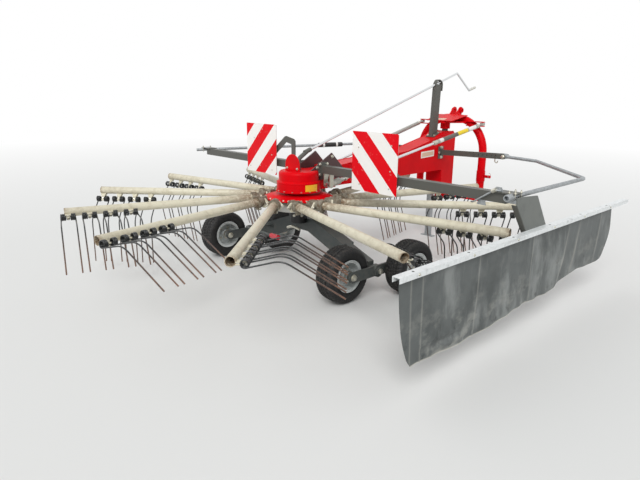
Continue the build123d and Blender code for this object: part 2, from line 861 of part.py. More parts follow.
# Height crank on its post
with BuildPart() as crank_post:
    with BuildSketch(side_plane(-crank_post_width / 2)):
        with BuildLine():
            Polyline(
                (crank_post_place - crank_post_depth / 2, boom_crest_height),
                (crank_post_place + crank_post_depth / 2, boom_crest_height),
                (crank_post_place + crank_post_depth / 2 + crank_post_lean, crank_post_top),
                (crank_post_place - crank_post_depth / 2 + crank_post_lean, crank_post_top),
                close=True,
            )
        make_face()
    extrude(amount=crank_post_width)
    with BuildSketch(side_plane(-crank_post_width)):
        with BuildLine():
            Polyline(
                (boom_rear, nose_bottom),
                (boom_rear, boom_rear_top),
                (boom_rise_start, boom_rise_height),
                (boom_crest, boom_crest_height),
                (nose_rear, nose_rear_top),
                (nose_rear, nose_bottom),
                close=True,
            )
        make_face()
    extrude(amount=2 * crank_post_width, mode=Mode.SUBTRACT)
    with BuildSketch(rod_plane(crank_start, crank_bend)):
        Circle(crank_radius + seat)
    extrude(amount=span(crank_start, crank_bend), mode=Mode.SUBTRACT)
keep(crank_post.part, "crank_post")

with BuildPart() as crank:
    for start, end, radius in (
        (crank_start, crank_bend, crank_radius),
        (crank_bend, crank_elbow, crank_radius),
        (crank_elbow, crank_end, crank_grip_radius),
    ):
        with BuildSketch(rod_plane(start, end)):
            Circle(radius)
        extrude(amount=span(start, end))
        with Locations(end):
            Sphere(radius)
keep(crank.part, "crank")

# The crank's lower joint, from the hood up to the rod
with BuildPart() as crank_joint:
    with BuildLine(Plane.YZ) as joint_line:
        FilletPolyline(
            (0, hood_top),
            (0, crank_joint_knee),
            crank_start[1:],
            radius=crank_joint_bend,
        )
    with BuildSketch(Plane.XY.offset(hood_top)):
        Circle(crank_joint_radius)
    sweep(path=joint_line.line)
    with BuildSketch(rod_plane(crank_start, crank_bend)):
        Circle(crank_joint_radius)
    extrude(amount=2 * crank_joint_radius, both=True)
    with BuildSketch(rod_plane(crank_start, crank_bend)):
        Circle(crank_radius + seat)
    extrude(amount=4 * crank_joint_radius, mode=Mode.SUBTRACT)
keep(crank_joint.part, "crank_joint")

# Root beams, fixed to the side plates, with the guards' hinge ears at their ends
slot_height = beam_top - beam_size + beam_wall + seat + curtain_arm_height / 2
root_size = beam_size + 2 * seat
root_end = guard_hinge - guard_ear_radius - part_gap


def right_root_beam():
    """The right-hand root beam: hollow, with two hinge ears outside its faces."""
    with BuildPart() as beam:
        start = boom_half_width + side_plate_thickness
        with BuildSketch(side_plane(start)):
            with Locations((beam_place, beam_top - beam_size / 2)):
                Rectangle(root_size, beam_size)
                Rectangle(root_size - 2 * beam_wall, beam_size - 2 * beam_wall, mode=Mode.SUBTRACT)
        extrude(amount=root_end - start)
        for way in (-1, 1):
            with BuildSketch(rear_plane(beam_place + way * root_size / 2)):
                with BuildLine():
                    Polyline(
                        (guard_hinge - 2 * guard_ear_radius - beam_size, beam_top - beam_size),
                        (guard_hinge - part_gap, beam_top - beam_size),
                        (guard_hinge + guard_ear_radius, guard_hinge_height),
                        (guard_hinge - guard_ear_radius, guard_hinge_height + guard_ear_radius),
                        (guard_hinge - 2 * guard_ear_radius - beam_size, beam_top),
                        close=True,
                    )
                make_face()
                with Locations((guard_hinge, guard_hinge_height)):
                    Circle(guard_ear_radius)
            extrude(amount=-way * guard_ear_thickness)
        with BuildSketch(rear_plane(beam_place + root_size / 2 + guard_ear_thickness)):
            with Locations((guard_hinge, guard_hinge_height)):
                Circle(guard_hinge_radius)
        extrude(amount=root_size + 2 * guard_ear_thickness)
    return beam.part


def guard_beam(reach):
    """A right-hand outer beam: a slot runs through it, an eye sits on its inner end and a lug on its outer one."""
    with BuildPart() as beam:
        with BuildSketch(side_plane(guard_hinge)):
            with Locations((beam_place, beam_top - beam_size / 2)):
                Rectangle(beam_size, beam_size)
        extrude(amount=reach - guard_hinge)
        with BuildSketch(rear_plane(beam_place + beam_size / 2)):
            with Locations((guard_hinge, guard_hinge_height)):
                Circle(guard_ear_radius)
            with BuildLine():
                Polyline(
                    (guard_hinge, guard_hinge_height - guard_ear_radius),
                    (guard_hinge, beam_top - beam_wall),
                    (guard_hinge + 3 * guard_ear_radius, beam_top - beam_wall),
                    (guard_hinge + 0.8 * guard_ear_radius, guard_hinge_height + 0.5 * guard_ear_radius),
                    close=True,
                )
            make_face()
        extrude(amount=beam_size)
        with BuildSketch(side_plane(guard_hinge - beam_size)):
            with Locations((beam_place, slot_height)):
                Rectangle(beam_size - 2 * beam_wall, curtain_arm_height + 2 * seat)
        extrude(amount=reach, mode=Mode.SUBTRACT)
        with BuildSketch(rear_plane(beam_place + beam_size)):
            with Locations((guard_hinge, guard_hinge_height)):
                Circle(guard_hinge_radius + running)
        extrude(amount=2 * beam_size, mode=Mode.SUBTRACT)
        with BuildSketch(Plane.XY.offset(beam_top)):
            with Locations((reach + (beam_lug_outset - beam_lug_inset) / 2, beam_place)):
                Rectangle(beam_lug_inset + beam_lug_outset, beam_lug_depth)
        extrude(amount=beam_lug)
    return beam.part


tube_height = beam_top - tube_radius
right_tube_path = (
    right_tube_knee,
    (*right_tube_corner, tube_height),
    (right_reach + right_tube_outset, right_tube_rear, tube_height),
)
left_tube_path = (left_tube_knee, (left_reach + left_tube_outset, left_tube_rear, tube_height - left_tube_drop))


def guard_tube(path):
    """A right-hand guard tube: a hinge eye in front, then along the path to the lug on the beam."""
    start = (guard_hinge, tube_front_place, guard_hinge_height)
    with BuildPart() as tube:
        with BuildLine() as tube_line:
            FilletPolyline(start, *path, radius=tube_bend_radius)
        with BuildSketch(rod_plane(start, path[0])):
            Circle(tube_radius)
        sweep(path=tube_line.line)
        with BuildSketch(rear_plane(tube_front_place + tube_eye_width / 2)):
            with Locations((guard_hinge, guard_hinge_height)):
                Circle(guard_ear_radius)
        extrude(amount=tube_eye_width)
        with BuildSketch(rear_plane(tube_front_place + tube_eye_width)):
            with Locations((guard_hinge, guard_hinge_height)):
                Circle(guard_hinge_radius + running)
        extrude(amount=2 * tube_eye_width, mode=Mode.SUBTRACT)
    return tube.part


def right_front_bar():
    """The right-hand front bar: flat, with a row of holes, ears and the hinge pin at its outer end."""
    end = (guard_hinge - front_bar_end_gap, tube_front_place, guard_hinge_height)
    start = (boom_half_width / 2, front_bar_root_place, front_bar_root_height)
    along = (Vector(*end) - Vector(*start)).normalized()
    level = Vector(0, 0, 1).cross(along)
    with BuildPart() as bar:
        with BuildSketch(Plane(origin=start, x_dir=level, z_dir=along)):
            Rectangle(front_bar_thickness, front_bar_height)
        extrude(amount=span(start, end))
        holes = int((span(start, end) / 2 - front_bar_height) / front_bar_hole_pitch)
        for number in range(holes):
            place = Vector(*end) - along * (front_bar_height + number * front_bar_hole_pitch)
            with BuildSketch(Plane(origin=place - level * front_bar_thickness, x_dir=along, z_dir=level)):
                Circle(front_bar_hole)
            extrude(amount=2 * front_bar_thickness, mode=Mode.SUBTRACT)
        with BuildSketch(side_plane(0)):
            with Locations((front_bar_root_place, front_bar_root_height)):
                Rectangle(guard_hinge, guard_hinge)
        extrude(amount=boom_half_width, mode=Mode.SUBTRACT)
        with BuildSketch(side_plane(boom_half_width)):
            with Locations((front_bar_root_place, front_bar_root_height)):
                Rectangle(front_bar_foot_width, front_bar_foot_height)
        extrude(amount=guard_ear_thickness)
        for way in (-1, 1):
            with BuildSketch(rear_plane(tube_front_place + way * (tube_eye_width / 2 + seat))):
                with Locations((guard_hinge - front_bar_end_gap, guard_hinge_height)):
                    Rectangle(2 * front_bar_end_gap, 2 * guard_ear_radius)
                with Locations((guard_hinge, guard_hinge_height)):
                    Circle(guard_ear_radius)
            extrude(amount=-way * guard_ear_thickness)
        with BuildSketch(rear_plane(tube_front_place + tube_eye_width / 2 + seat)):
            with Locations((guard_hinge - 1.6 * front_bar_end_gap, guard_hinge_height)):
                Rectangle(front_bar_end_gap, 2 * guard_ear_radius)
        extrude(amount=tube_eye_width + 2 * seat)
        with BuildSketch(rear_plane(tube_front_place + tube_eye_width / 2 + seat + guard_ear_thickness)):
            with Locations((guard_hinge, guard_hinge_height)):
                Circle(guard_hinge_radius)
        extrude(amount=tube_eye_width + 2 * seat + 2 * guard_ear_thickness)
    return bar.part


def board(centre):
    """A warning board on the right: a thin square plate."""
    with BuildPart() as plate:
        with BuildSketch(rear_plane(board_place)):
            with Locations((centre, board_middle_height)):
                RectangleRounded(board_size, board_size, 6)
        extrude(amount=board_thickness)
    return plate.part


def board_mount(centre):
    """The bracket of a board on the right: an upright strap on a block behind the root beam."""
    place = centre - board_bracket_inset
    strap_low = beam_top - beam_size
    strap_high = board_middle_height + board_size / 2 - board_bracket
    with BuildPart() as bracket:
        with BuildSketch(rear_plane(board_place + board_bracket_thickness)):
            with Locations((place, (strap_low + strap_high) / 2)):
                Rectangle(board_bracket, strap_high - strap_low)
        extrude(amount=board_bracket_thickness)
        with BuildSketch(rear_plane(beam_place - root_size / 2)):
            with Locations((place, beam_top - beam_size / 2)):
                Rectangle(board_bracket, beam_size)
        extrude(amount=beam_place - root_size / 2 - board_place)
    return bracket.part


# The right-hand pieces and their mirror images: fixed ones in pairs, folding ones by themselves
for name, right, left in (
    ("root_beams", right_root_beam(), right_root_beam()),
    ("front_bars", right_front_bar(), right_front_bar()),
    ("warning_boards", board(right_board_centre), board(left_board_centre)),
    ("board_brackets", board_mount(right_board_centre), board_mount(left_board_centre)),
):
    keep(Compound(children=[right, mirror(left, about=Plane.YZ)]), name)
for name, right, left in (
    ("guard_beam", guard_beam(right_reach), guard_beam(left_reach)),
    ("guard_tube", guard_tube(right_tube_path), guard_tube(left_tube_path)),
):
    keep(right, f"{name}_right")
    keep(mirror(left, about=Plane.YZ), f"{name}_left")

# Swath curtain: an arm that slides in the right-hand beam, a bracket plate, a rail and the sheet
curtain_place = right_reach + curtain_outset
rail_inner = curtain_place - curtain_rail_width / 2
with BuildPart() as curtain_arm:
    arm_size = beam_size - 2 * beam_wall - 2 * seat
    with BuildSketch(side_plane(rail_inner - bracket_plate - curtain_arm_length)):
        with Locations((beam_place, slot_height)):
            Rectangle(arm_size, curtain_arm_height)
            Rectangle(
                arm_size - 2 * curtain_arm_wall,
                curtain_arm_height - 2 * curtain_arm_wall,
                mode=Mode.SUBTRACT,
            )
    extrude(amount=curtain_arm_length)
keep(curtain_arm.part, "curtain_arm")

with BuildPart() as curtain_bracket:
    rail_low = curtain_rail_top - curtain_rail_height
    with BuildSketch(side_plane(rail_inner - bracket_plate)):
        with BuildLine():
            Polyline(
                (bracket_foot[0], rail_low),
                (beam_place - beam_size / 2, beam_top - beam_size),
                (beam_place - beam_size / 2, bracket_top),
                (beam_place + beam_size / 2, bracket_top),
                bracket_head,
                (bracket_foot[1], rail_low),
                close=True,
            )
        make_face()
    extrude(amount=bracket_plate)
keep(curtain_bracket.part, "curtain_bracket")

curtain_length = curtain_front - curtain_rear
with BuildPart() as curtain_rail:
    with BuildSketch(rear_plane(curtain_front)):
        with Locations((curtain_place, curtain_rail_top - curtain_rail_height / 2)):
            Rectangle(curtain_rail_width, curtain_rail_height)
        with Locations((curtain_place, curtain_rail_top - curtain_rail_height / 2 - curtain_rail_wall)):
            Rectangle(
                curtain_rail_width - 2 * curtain_rail_wall,
                curtain_rail_height,
                mode=Mode.SUBTRACT,
            )
    extrude(amount=curtain_length)
keep(curtain_rail.part, "curtain_rail")

with BuildPart() as curtain:
    with BuildSketch(rear_plane(curtain_front)):
        with Locations((curtain_place, (curtain_rail_top - curtain_rail_wall + curtain_bottom) / 2)):
            Rectangle(curtain_thickness, curtain_rail_top - curtain_rail_wall - curtain_bottom)
    extrude(amount=curtain_length)
keep(curtain.part, "curtain_sheet")

# Parking stand: a leg that slides in a socket on the nose's bottom plate
socket_bore = stand_size + 2 * seat
socket_size = socket_bore + 2 * stand_socket_wall
with BuildPart() as stand_socket:
    with BuildSketch(Plane.XY.offset(nose_bottom + boom_plate)):
        with Locations((stand_side, stand_place)):
            Rectangle(socket_size, socket_size)
            Rectangle(socket_bore, socket_bore, mode=Mode.SUBTRACT)
    extrude(amount=stand_socket_top - nose_bottom - boom_plate)
keep(stand_socket.part, "stand_socket")

with BuildPart() as stand:
    with BuildSketch(Plane.XY):
        with Locations((stand_side, stand_place)):
            Rectangle(stand_foot, stand_size)
    extrude(amount=stand_foot_thickness)
    with BuildSketch(Plane.XY.offset(stand_foot_thickness)):
        with Locations((stand_side, stand_place)):
            Rectangle(stand_size, stand_size)
            Rectangle(stand_size - 2 * stand_wall, stand_size - 2 * stand_wall, mode=Mode.SUBTRACT)
    extrude(amount=stand_top - stand_foot_thickness)
keep(stand.part, "stand_leg")

# Rear ears for the dampers under the root beams, each pair with the pin between them
ear_plates = []
for way in (-1, 1):
    for gap in (-1, 1):
        with BuildPart() as ear_plate:
            with BuildSketch(side_plane(way * damper_rear[0] + gap * damper_rear_gap / 2)):
                with Locations((damper_rear[1], damper_rear[2])):
                    Circle(guard_ear_radius)
                with Locations((damper_rear[1], (damper_rear[2] + beam_top - beam_size) / 2)):
                    Rectangle(2 * guard_ear_radius, beam_top - beam_size - damper_rear[2])
            extrude(amount=gap * damper_ear)
        ear_plates.append(ear_plate.part)
    with BuildPart() as ear_pin:
        with BuildSketch(side_plane(way * damper_rear[0] - damper_rear_gap / 2)):
            with Locations((damper_rear[1], damper_rear[2])):
                Circle(damper_pin_radius)
        extrude(amount=damper_rear_gap)
    ear_plates.append(ear_pin.part)
keep(Compound(children=ear_plates), "damper_ears")

# Lever behind the axle, with a grip
with BuildPart() as lever:
    with BuildLine() as lever_line:
        FilletPolyline(
            (lever_side, axle_place - axle_web_depth / 2, lever_height),
            lever_elbow,
            lever_tip,
            radius=lever_bend,
        )
    with BuildSketch(Plane(origin=lever_line.line @ 0, z_dir=lever_line.line % 0)):
        Circle(lever_radius)
    sweep(path=lever_line.line)
    with BuildSketch(rear_plane(axle_place - axle_web_depth / 2)):
        with Locations((lever_side, lever_height)):
            Circle(2 * lever_radius)
    extrude(amount=lever_radius)
    with BuildSketch(rear_plane(axle_place)):
        with Locations((lever_side, lever_height)):
            Circle(2 * lever_radius)
    extrude(amount=axle_web_depth / 2, mode=Mode.SUBTRACT)
    with BuildSketch(rod_plane(lever_tip, lever_elbow)):
        Circle(lever_grip_radius)
    extrude(amount=lever_grip_length, taper=2)
keep(lever.part, "lever")

# Shift everything so that the origin is under the middle of the footprint
boxes = [piece.bounding_box() for piece in pieces]
middle_x = (min(box.min.X for box in boxes) + max(box.max.X for box in boxes)) / 2
middle_y = (min(box.min.Y for box in boxes) + max(box.max.Y for box in boxes)) / 2
home = Location((-middle_x, -middle_y, 0))
os.makedirs("parts", exist_ok=True)
for piece in pieces:
    placed = piece.moved(home)
    placed.label = piece.label
    export_step(placed, f"parts/{piece.label}.step")
print(f"rotor axis at x {-middle_x:.3f}, y {-middle_y:.3f}")
print(f"{len(pieces)} pieces")
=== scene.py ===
import logging
import math
from dataclasses import dataclass
from enum import Enum
from typing import ClassVar

import bpy
import numpy as np
from mathutils import Matrix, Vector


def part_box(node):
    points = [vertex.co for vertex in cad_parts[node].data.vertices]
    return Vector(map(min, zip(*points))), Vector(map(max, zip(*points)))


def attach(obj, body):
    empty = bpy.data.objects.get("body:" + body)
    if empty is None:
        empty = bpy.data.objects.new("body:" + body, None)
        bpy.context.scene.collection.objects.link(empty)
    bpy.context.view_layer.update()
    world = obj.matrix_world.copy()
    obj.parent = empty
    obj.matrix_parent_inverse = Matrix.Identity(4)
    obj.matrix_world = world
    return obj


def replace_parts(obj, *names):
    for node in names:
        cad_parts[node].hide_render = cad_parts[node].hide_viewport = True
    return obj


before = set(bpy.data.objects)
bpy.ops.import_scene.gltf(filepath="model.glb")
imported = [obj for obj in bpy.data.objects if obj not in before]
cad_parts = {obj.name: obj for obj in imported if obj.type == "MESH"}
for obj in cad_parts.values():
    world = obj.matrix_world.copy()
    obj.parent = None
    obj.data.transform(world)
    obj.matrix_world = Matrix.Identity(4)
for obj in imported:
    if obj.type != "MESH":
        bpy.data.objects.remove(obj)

# A rotary rake carried on a three-point headstock. Points are in metres about the rotor's
# axis, x to the machine's right, y ahead and z up from the ground, until `Workpiece.finish`
# shifts them to the frame's own place.

LOG = logging.getLogger("rotary_rake")
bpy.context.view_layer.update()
DRUM_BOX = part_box("rotor_drum")
AXIS = np.array([(DRUM_BOX[0].x + DRUM_BOX[1].x) / 2, (DRUM_BOX[0].y + DRUM_BOX[1].y) / 2, 0.0])
UP = np.array([0.0, 0.0, 1.0])
RIGHT = (1.0, 0.0, 0.0)
AHEAD = (0.0, 1.0, 0.0)
WHITE = (1.0, 1.0, 1.0, 1.0)
MILLIMETRE = 0.001
ARM_STEP = 30.0  # degrees from one tine arm to the next

EVEN = (1.0, 1.0, 1.0)  # a pattern that isn't stretched
UPWARD_RANGE = (0.15, 0.9)  # how far up a face looks where a layer starts, and where it is full
LOW_RANGE = (0.55, 0.05)  # metres above the ground, likewise
PATCH_NOISE = {"Detail": 5.0, "Roughness": 0.62}  # ragged edges, as dust and rust have
COAT_ROUGHNESS = 0.15

Point = tuple[float, float, float]
Profile = list[tuple[float, float]]
Value = float | tuple | bpy.types.NodeSocket


def linear(code: str) -> tuple[float, float, float, float]:
    """Turn an sRGB hex colour into the linear values that Blender works in.

    Args:
        code: six hex digits after a hash.

    Returns:
        Red, green, blue and an alpha of 1.
    """
    parts = [int(code[i : i + 2], 16) / 255 for i in (1, 3, 5)]
    return (*(p / 12.92 if p <= 0.04045 else ((p + 0.055) / 1.055) ** 2.4 for p in parts), 1.0)


def add(
    tree: bpy.types.NodeTree, kind: str, links: dict | None = None, **settings: object
) -> bpy.types.Node:
    """Add a node with its settings and links.

    Args:
        tree: the node tree that gets it.
        kind: the node's type name.
        links: for each input, by name or number, a value or the socket that feeds it.
        settings: properties of the node itself.

    Returns:
        The new node.
    """
    node = tree.nodes.new(kind)
    for key, value in settings.items():
        setattr(node, key, value)
    for key, value in (links or {}).items():
        if isinstance(value, bpy.types.NodeSocket):
            tree.links.new(value, node.inputs[key])
        else:
            node.inputs[key].default_value = value
    return node


class Where(Enum):
    """Where on a piece a layer lies."""

    ANYWHERE = "anywhere"
    UPWARD = "on faces that look up"
    MARKED = "where the mesh is marked as worn"
    LOW = "near the ground"

    def spot(self, tree: bpy.types.NodeTree) -> bpy.types.NodeSocket | None:
        """Find this place's mask.

        Args:
            tree: the material's node tree.

        Returns:
            A socket from 0 to 1, or None for the whole piece.
        """
        if self is Where.MARKED:
            return add(tree, "ShaderNodeAttribute", attribute_name="wear").outputs["Fac"]
        if self is Where.ANYWHERE:
            return None
        geometry = add(tree, "ShaderNodeNewGeometry")
        source, (start, end) = ("Normal", UPWARD_RANGE) if self is Where.UPWARD else ("Position", LOW_RANGE)
        height = add(tree, "ShaderNodeSeparateXYZ", {0: geometry.outputs[source]}).outputs["Z"]
        return add(
            tree, "ShaderNodeMapRange", {"Value": height, "From Min": start, "From Max": end}
        ).outputs[0]


@dataclass(frozen=True)
class Layer:
    """Dust, rust, grime or a scuff that lies on a finish in patches."""

    colour: str
    size: float  # of one patch, in millimetres
    low: float
    high: float
    where: Where = Where.ANYWHERE
    amount: float = 1.0
    roughness: float | None = None
    metallic: float | None = None
    stretch: Point = EVEN

    def mask(self, tree: bpy.types.NodeTree, place: bpy.types.NodeSocket) -> bpy.types.NodeSocket:
        """Make the patches.

        Args:
            tree: the material's node tree.
            place: the point on the piece, in metres.

        Returns:
            A socket from 0 to the layer's amount.
        """
        if self.stretch != EVEN:
            place = add(tree, "ShaderNodeMapping", {"Vector": place, "Scale": self.stretch}).outputs[0]
        noise = add(
            tree, "ShaderNodeTexNoise", {"Vector": place, "Scale": 1000 / self.size, **PATCH_NOISE}
        ).outputs[0]
        patches = add(
            tree,
            "ShaderNodeMapRange",
            {"Value": noise, "From Min": self.low, "From Max": self.high, "To Max": self.amount},
            interpolation_type="SMOOTHSTEP",
        ).outputs[0]
        spot = self.where.spot(tree)
        if spot is None:
            return patches
        return add(tree, "ShaderNodeMath", {0: patches, 1: spot}, operation="MULTIPLY").outputs[0]


@dataclass(frozen=True)
class Grain:
    """A fine relief: orange peel, casting sand, weave or spangle edges."""

    size: float  # millimetres across one grain
    height: float  # millimetres from low to high
    stretch: Point = EVEN
    cells: bool = False

    def relief(self, tree: bpy.types.NodeTree, place: bpy.types.NodeSocket) -> bpy.types.NodeSocket:
        """Make the relief.

        Args:
            tree: the material's node tree.
            place: the point on the piece, in metres.

        Returns:
            A socket with the height in metres.
        """
        if self.stretch != EVEN:
            place = add(tree, "ShaderNodeMapping", {"Vector": place, "Scale": self.stretch}).outputs[0]
        kind = "ShaderNodeTexVoronoi" if self.cells else "ShaderNodeTexNoise"
        pattern = add(tree, kind, {"Vector": place, "Scale": 1000 / self.size}).outputs[0]
        height = self.height * MILLIMETRE
        return add(tree, "ShaderNodeMath", {0: pattern, 1: height}, operation="MULTIPLY").outputs[0]


@dataclass(frozen=True)
class Finish:
    """What a surface is made of and how it has aged."""

    title: str
    colour: str
    roughness: float
    metallic: float = 0.0
    coat: float = 0.0
    specular: float = 0.5
    layers: tuple[Layer, ...] = ()
    grains: tuple[Grain, ...] = ()

    made: ClassVar[dict[str, bpy.types.Material]] = {}

    def ground(self, tree: bpy.types.NodeTree, place: bpy.types.NodeSocket) -> Value:
        """Give the colour under the layers: one colour, unless a subclass draws more."""
        return linear(self.colour)

    def material(self) -> bpy.types.Material:
        """Build the material, or find the one that was built before.

        Returns:
            The material.
        """
        if self.title in self.made:
            return self.made[self.title]
        material = bpy.data.materials.new(self.title)
        material.use_nodes = True
        tree = material.node_tree
        tree.nodes.clear()
        place = add(tree, "ShaderNodeTexCoord").outputs["Object"]
        colour: Value = self.ground(tree, place)
        roughness: Value = self.roughness
        metallic: Value = self.metallic
        for layer in self.layers:
            mask = layer.mask(tree, place)
            colour = add(
                tree, "ShaderNodeMix", {0: mask, 6: colour, 7: linear(layer.colour)}, data_type="RGBA"
            ).outputs[2]
            if layer.roughness is not None:
                roughness = add(tree, "ShaderNodeMix", {0: mask, 2: roughness, 3: layer.roughness}).outputs[0]
            if layer.metallic is not None:
                metallic = add(tree, "ShaderNodeMix", {0: mask, 2: metallic, 3: layer.metallic}).outputs[0]
        links: dict = {
            "Base Color": colour,
            "Roughness": roughness,
            "Metallic": metallic,
            "Specular IOR Level": self.specular,
        }
        height: Value | None = None
        for grain in self.grains:
            relief = grain.relief(tree, place)
            if height is not None:
                relief = add(tree, "ShaderNodeMath", {0: height, 1: relief}, operation="ADD").outputs[0]
            height = relief
        if height is not None:
            bump = add(tree, "ShaderNodeBump", {"Height": height, "Distance": 1.0, "Strength": 1.0})
            links["Normal"] = bump.outputs[0]
        if self.coat:
            links |= {"Coat Weight": self.coat, "Coat Roughness": COAT_ROUGHNESS}
        shader = add(tree, "ShaderNodeBsdfPrincipled", links)
        add(tree, "ShaderNodeOutputMaterial", {"Surface": shader.outputs[0]})
        self.made[self.title] = material
        return material


@dataclass(frozen=True)
class StripedSheeting(Finish):
    """Retroreflective sheeting with diagonal stripes that fall away from the machine's middle."""

    second: str = "#f1efeb"
    starts: tuple[float, float] = (1.620, 1.671)  # outward plus height where red starts, left and right
    band: float = 0.1414  # along the board's edge, for stripes 100 mm wide

    def ground(self, tree: bpy.types.NodeTree, place: bpy.types.NodeSocket) -> Value:
        """Draw the stripes.

        Args:
            tree: the material's node tree.
            place: the point on the piece, in metres.

        Returns:
            The socket with the stripes' colour.
        """
        parts = add(tree, "ShaderNodeSeparateXYZ", {0: place})
        height = parts.outputs["Z"]
        sideways = add(
            tree, "ShaderNodeMath", {0: parts.outputs["X"], 1: float(AXIS[0])}, operation="SUBTRACT"
        ).outputs[0]
        outward = add(tree, "ShaderNodeMath", {0: sideways}, operation="ABSOLUTE").outputs[0]
        right = add(tree, "ShaderNodeMath", {0: sideways, 1: 0.0}, operation="GREATER_THAN").outputs[0]
        left_start, right_start = self.starts
        start = add(
            tree, "ShaderNodeMath", {0: right, 1: right_start - left_start, 2: left_start},
            operation="MULTIPLY_ADD",
        ).outputs[0]
        diagonal = add(tree, "ShaderNodeMath", {0: outward, 1: height}, operation="ADD").outputs[0]
        reach = add(tree, "ShaderNodeMath", {0: diagonal, 1: start}, operation="SUBTRACT").outputs[0]
        turn = add(
            tree, "ShaderNodeMath", {0: reach, 1: 2 * self.band}, operation="FLOORED_MODULO"
        ).outputs[0]
        red = add(tree, "ShaderNodeMath", {0: turn, 1: self.band}, operation="LESS_THAN").outputs[0]
        return add(
            tree, "ShaderNodeMix", {0: red, 6: linear(self.second), 7: linear(self.colour)}, data_type="RGBA"
        ).outputs[2]


@dataclass(frozen=True)
class Spangled(Finish):
    """Hot-dip galvanised steel: zinc crystals, each a little lighter or darker than the next."""

    crystal: float = 14.0  # millimetres across one crystal
    spread: float = 0.16

    def ground(self, tree: bpy.types.NodeTree, place: bpy.types.NodeSocket) -> Value:
        """Draw the crystals.

        Args:
            tree: the material's node tree.
            place: the point on the piece, in metres.

        Returns:
            The socket with the crystals' colour.
        """
        cells = add(tree, "ShaderNodeTexVoronoi", {"Vector": place, "Scale": 1000 / self.crystal})
        grey = add(tree, "ShaderNodeSeparateColor", {0: cells.outputs["Color"]}).outputs[0]
        tone = linear(self.colour)
        light, dark = (
            (*(min(1.0, c * k) for c in tone[:3]), 1.0) for k in (1 + self.spread, 1 - self.spread)
        )
        return add(tree, "ShaderNodeMix", {0: grey, 6: dark, 7: light}, data_type="RGBA").outputs[2]


# Road film: rain has left a thin grey-brown film on faces that look up
FILM = Layer("#8d8a80", 90, 0.35, 0.85, Where.UPWARD, 0.22, roughness=0.55)
# Mud thrown up from the road, on what is low down
SPLASH = Layer("#77736a", 60, 0.30, 0.80, Where.LOW, 0.55, roughness=0.8)
# The faint dimples of sprayed paint: about 1 mm on the real thing, drawn 5 mm so that they show
ORANGE_PEEL = Grain(5.0, 0.05)

# Enamel on pressed and welded steel: wet-looking red, with a clear gloss and faint orange peel
RED_ENAMEL = Finish(
    "red_enamel", "#d80310", 0.34, specular=0.08,
    layers=(
        Layer("#a80a14", 220, 0.40, 0.75, amount=0.35),
        Layer("#8f8378", 45, 0.62, 0.86, Where.UPWARD, 0.16, roughness=0.6),
        Layer("#5c2a1c", 7, 0.74, 0.80, amount=0.8, roughness=0.85),
    ),
    grains=(ORANGE_PEEL,),
)
# Powder coat on folded plate: dark grey with a brown cast, satin, chipped to bare steel in specks
GREY_POWDER_COAT = Finish(
    "grey_powder_coat", "#575752", 0.45, specular=0.35,
    layers=(
        FILM,
        Layer("#6d5a4c", 40, 0.60, 0.80, amount=0.5, roughness=0.8),
        Layer("#9a9892", 6, 0.72, 0.78, amount=0.7, roughness=0.5),
    ),
    grains=(ORANGE_PEEL,),
)
# Powder coat on the curtain's bracket: a paler, flatter grey
BRACKET_COAT = Finish(
    "bracket_coat", "#6d706c", 0.5, specular=0.35,
    layers=(FILM, Layer("#575a57", 90, 0.45, 0.7, amount=0.5)),
    grains=(ORANGE_PEEL,),
)
# Powder coat on the side plates: a dark maroon, satin, with bare specks
MAROON_POWDER_COAT = Finish(
    "maroon_powder_coat", "#523c3c", 0.42, specular=0.35,
    layers=(FILM, Layer("#3a2626", 70, 0.45, 0.75, amount=0.5), Layer("#8b8580", 6, 0.72, 0.78, amount=0.6)),
    grains=(ORANGE_PEEL,),
)
# Powder coat near the ground: a cold dark grey under mud and rust
CHASSIS_POWDER_COAT = Finish(
    "chassis_powder_coat", "#3a4040", 0.45,
    layers=(FILM, SPLASH, Layer("#5b4436", 25, 0.66, 0.76, amount=0.6, roughness=0.85)),
    grains=(ORANGE_PEEL,),
)
# Brushed-on cream enamel on drawn tube: soiled where grease and hay rub, rusty at the hub end and the open
# end, where the rust-brown inside the mouth is partly real rust and partly painted shade in the bore
CREAM_ENAMEL = Finish(
    "cream_enamel", "#d2ccb6", 0.42,
    layers=(
        Layer("#a99f85", 55, 0.45, 0.75, amount=0.55, roughness=0.55),
        Layer("#7c6a4d", 18, 0.64, 0.76, amount=0.7, roughness=0.7),
        # Rust-brown where the mesh is marked: real rust at the tubes' ends, and partly painted shade inside
        # their mouths
        Layer("#6f5236", 22, 0.25, 0.62, Where.MARKED, 0.95, roughness=0.85),
    ),
    grains=(ORANGE_PEEL,),
)
# Oil-hardened spring wire, dipped in black lacquer, which hay has worn off towards the tips
SPRING_STEEL = Finish(
    "spring_steel", "#1d1f20", 0.28, metallic=0.2, coat=0.3,
    layers=(
        Layer("#56595a", 30, 0.55, 0.75, amount=0.5, roughness=0.4, metallic=0.7),
        Layer("#7a5540", 26, 0.20, 0.60, Where.MARKED, 0.90, roughness=0.65, metallic=0.1),
        Layer("#9b8d80", 9, 0.60, 0.72, Where.MARKED, 0.6, roughness=0.5),
    ),
)
# Sand-cast iron, left bare: a coarse skin under grease, dust and rust
CAST_IRON = Finish(
    "cast_iron", "#8c8677", 0.62, metallic=0.35,
    layers=(
        Layer("#5b4a37", 35, 0.38, 0.62, amount=0.85, roughness=0.85, metallic=0.0),
        Layer("#2b2620", 22, 0.55, 0.72, amount=0.8, roughness=0.5, metallic=0.0),
        Layer("#c3bfae", 28, 0.60, 0.75, amount=0.7, roughness=0.5),
    ),
    grains=(Grain(3.0, 0.25), Grain(14.0, 0.4)),
)
# Machined drum face: pale bright steel with a stain here and there
DRUM_STEEL = Finish(
    "drum_steel", "#b3b2ad", 0.35, metallic=0.75,
    layers=(Layer("#7b6f60", 60, 0.50, 0.75, amount=0.7, roughness=0.6, metallic=0.1),),
    grains=(Grain(3.0, 0.06),),
)
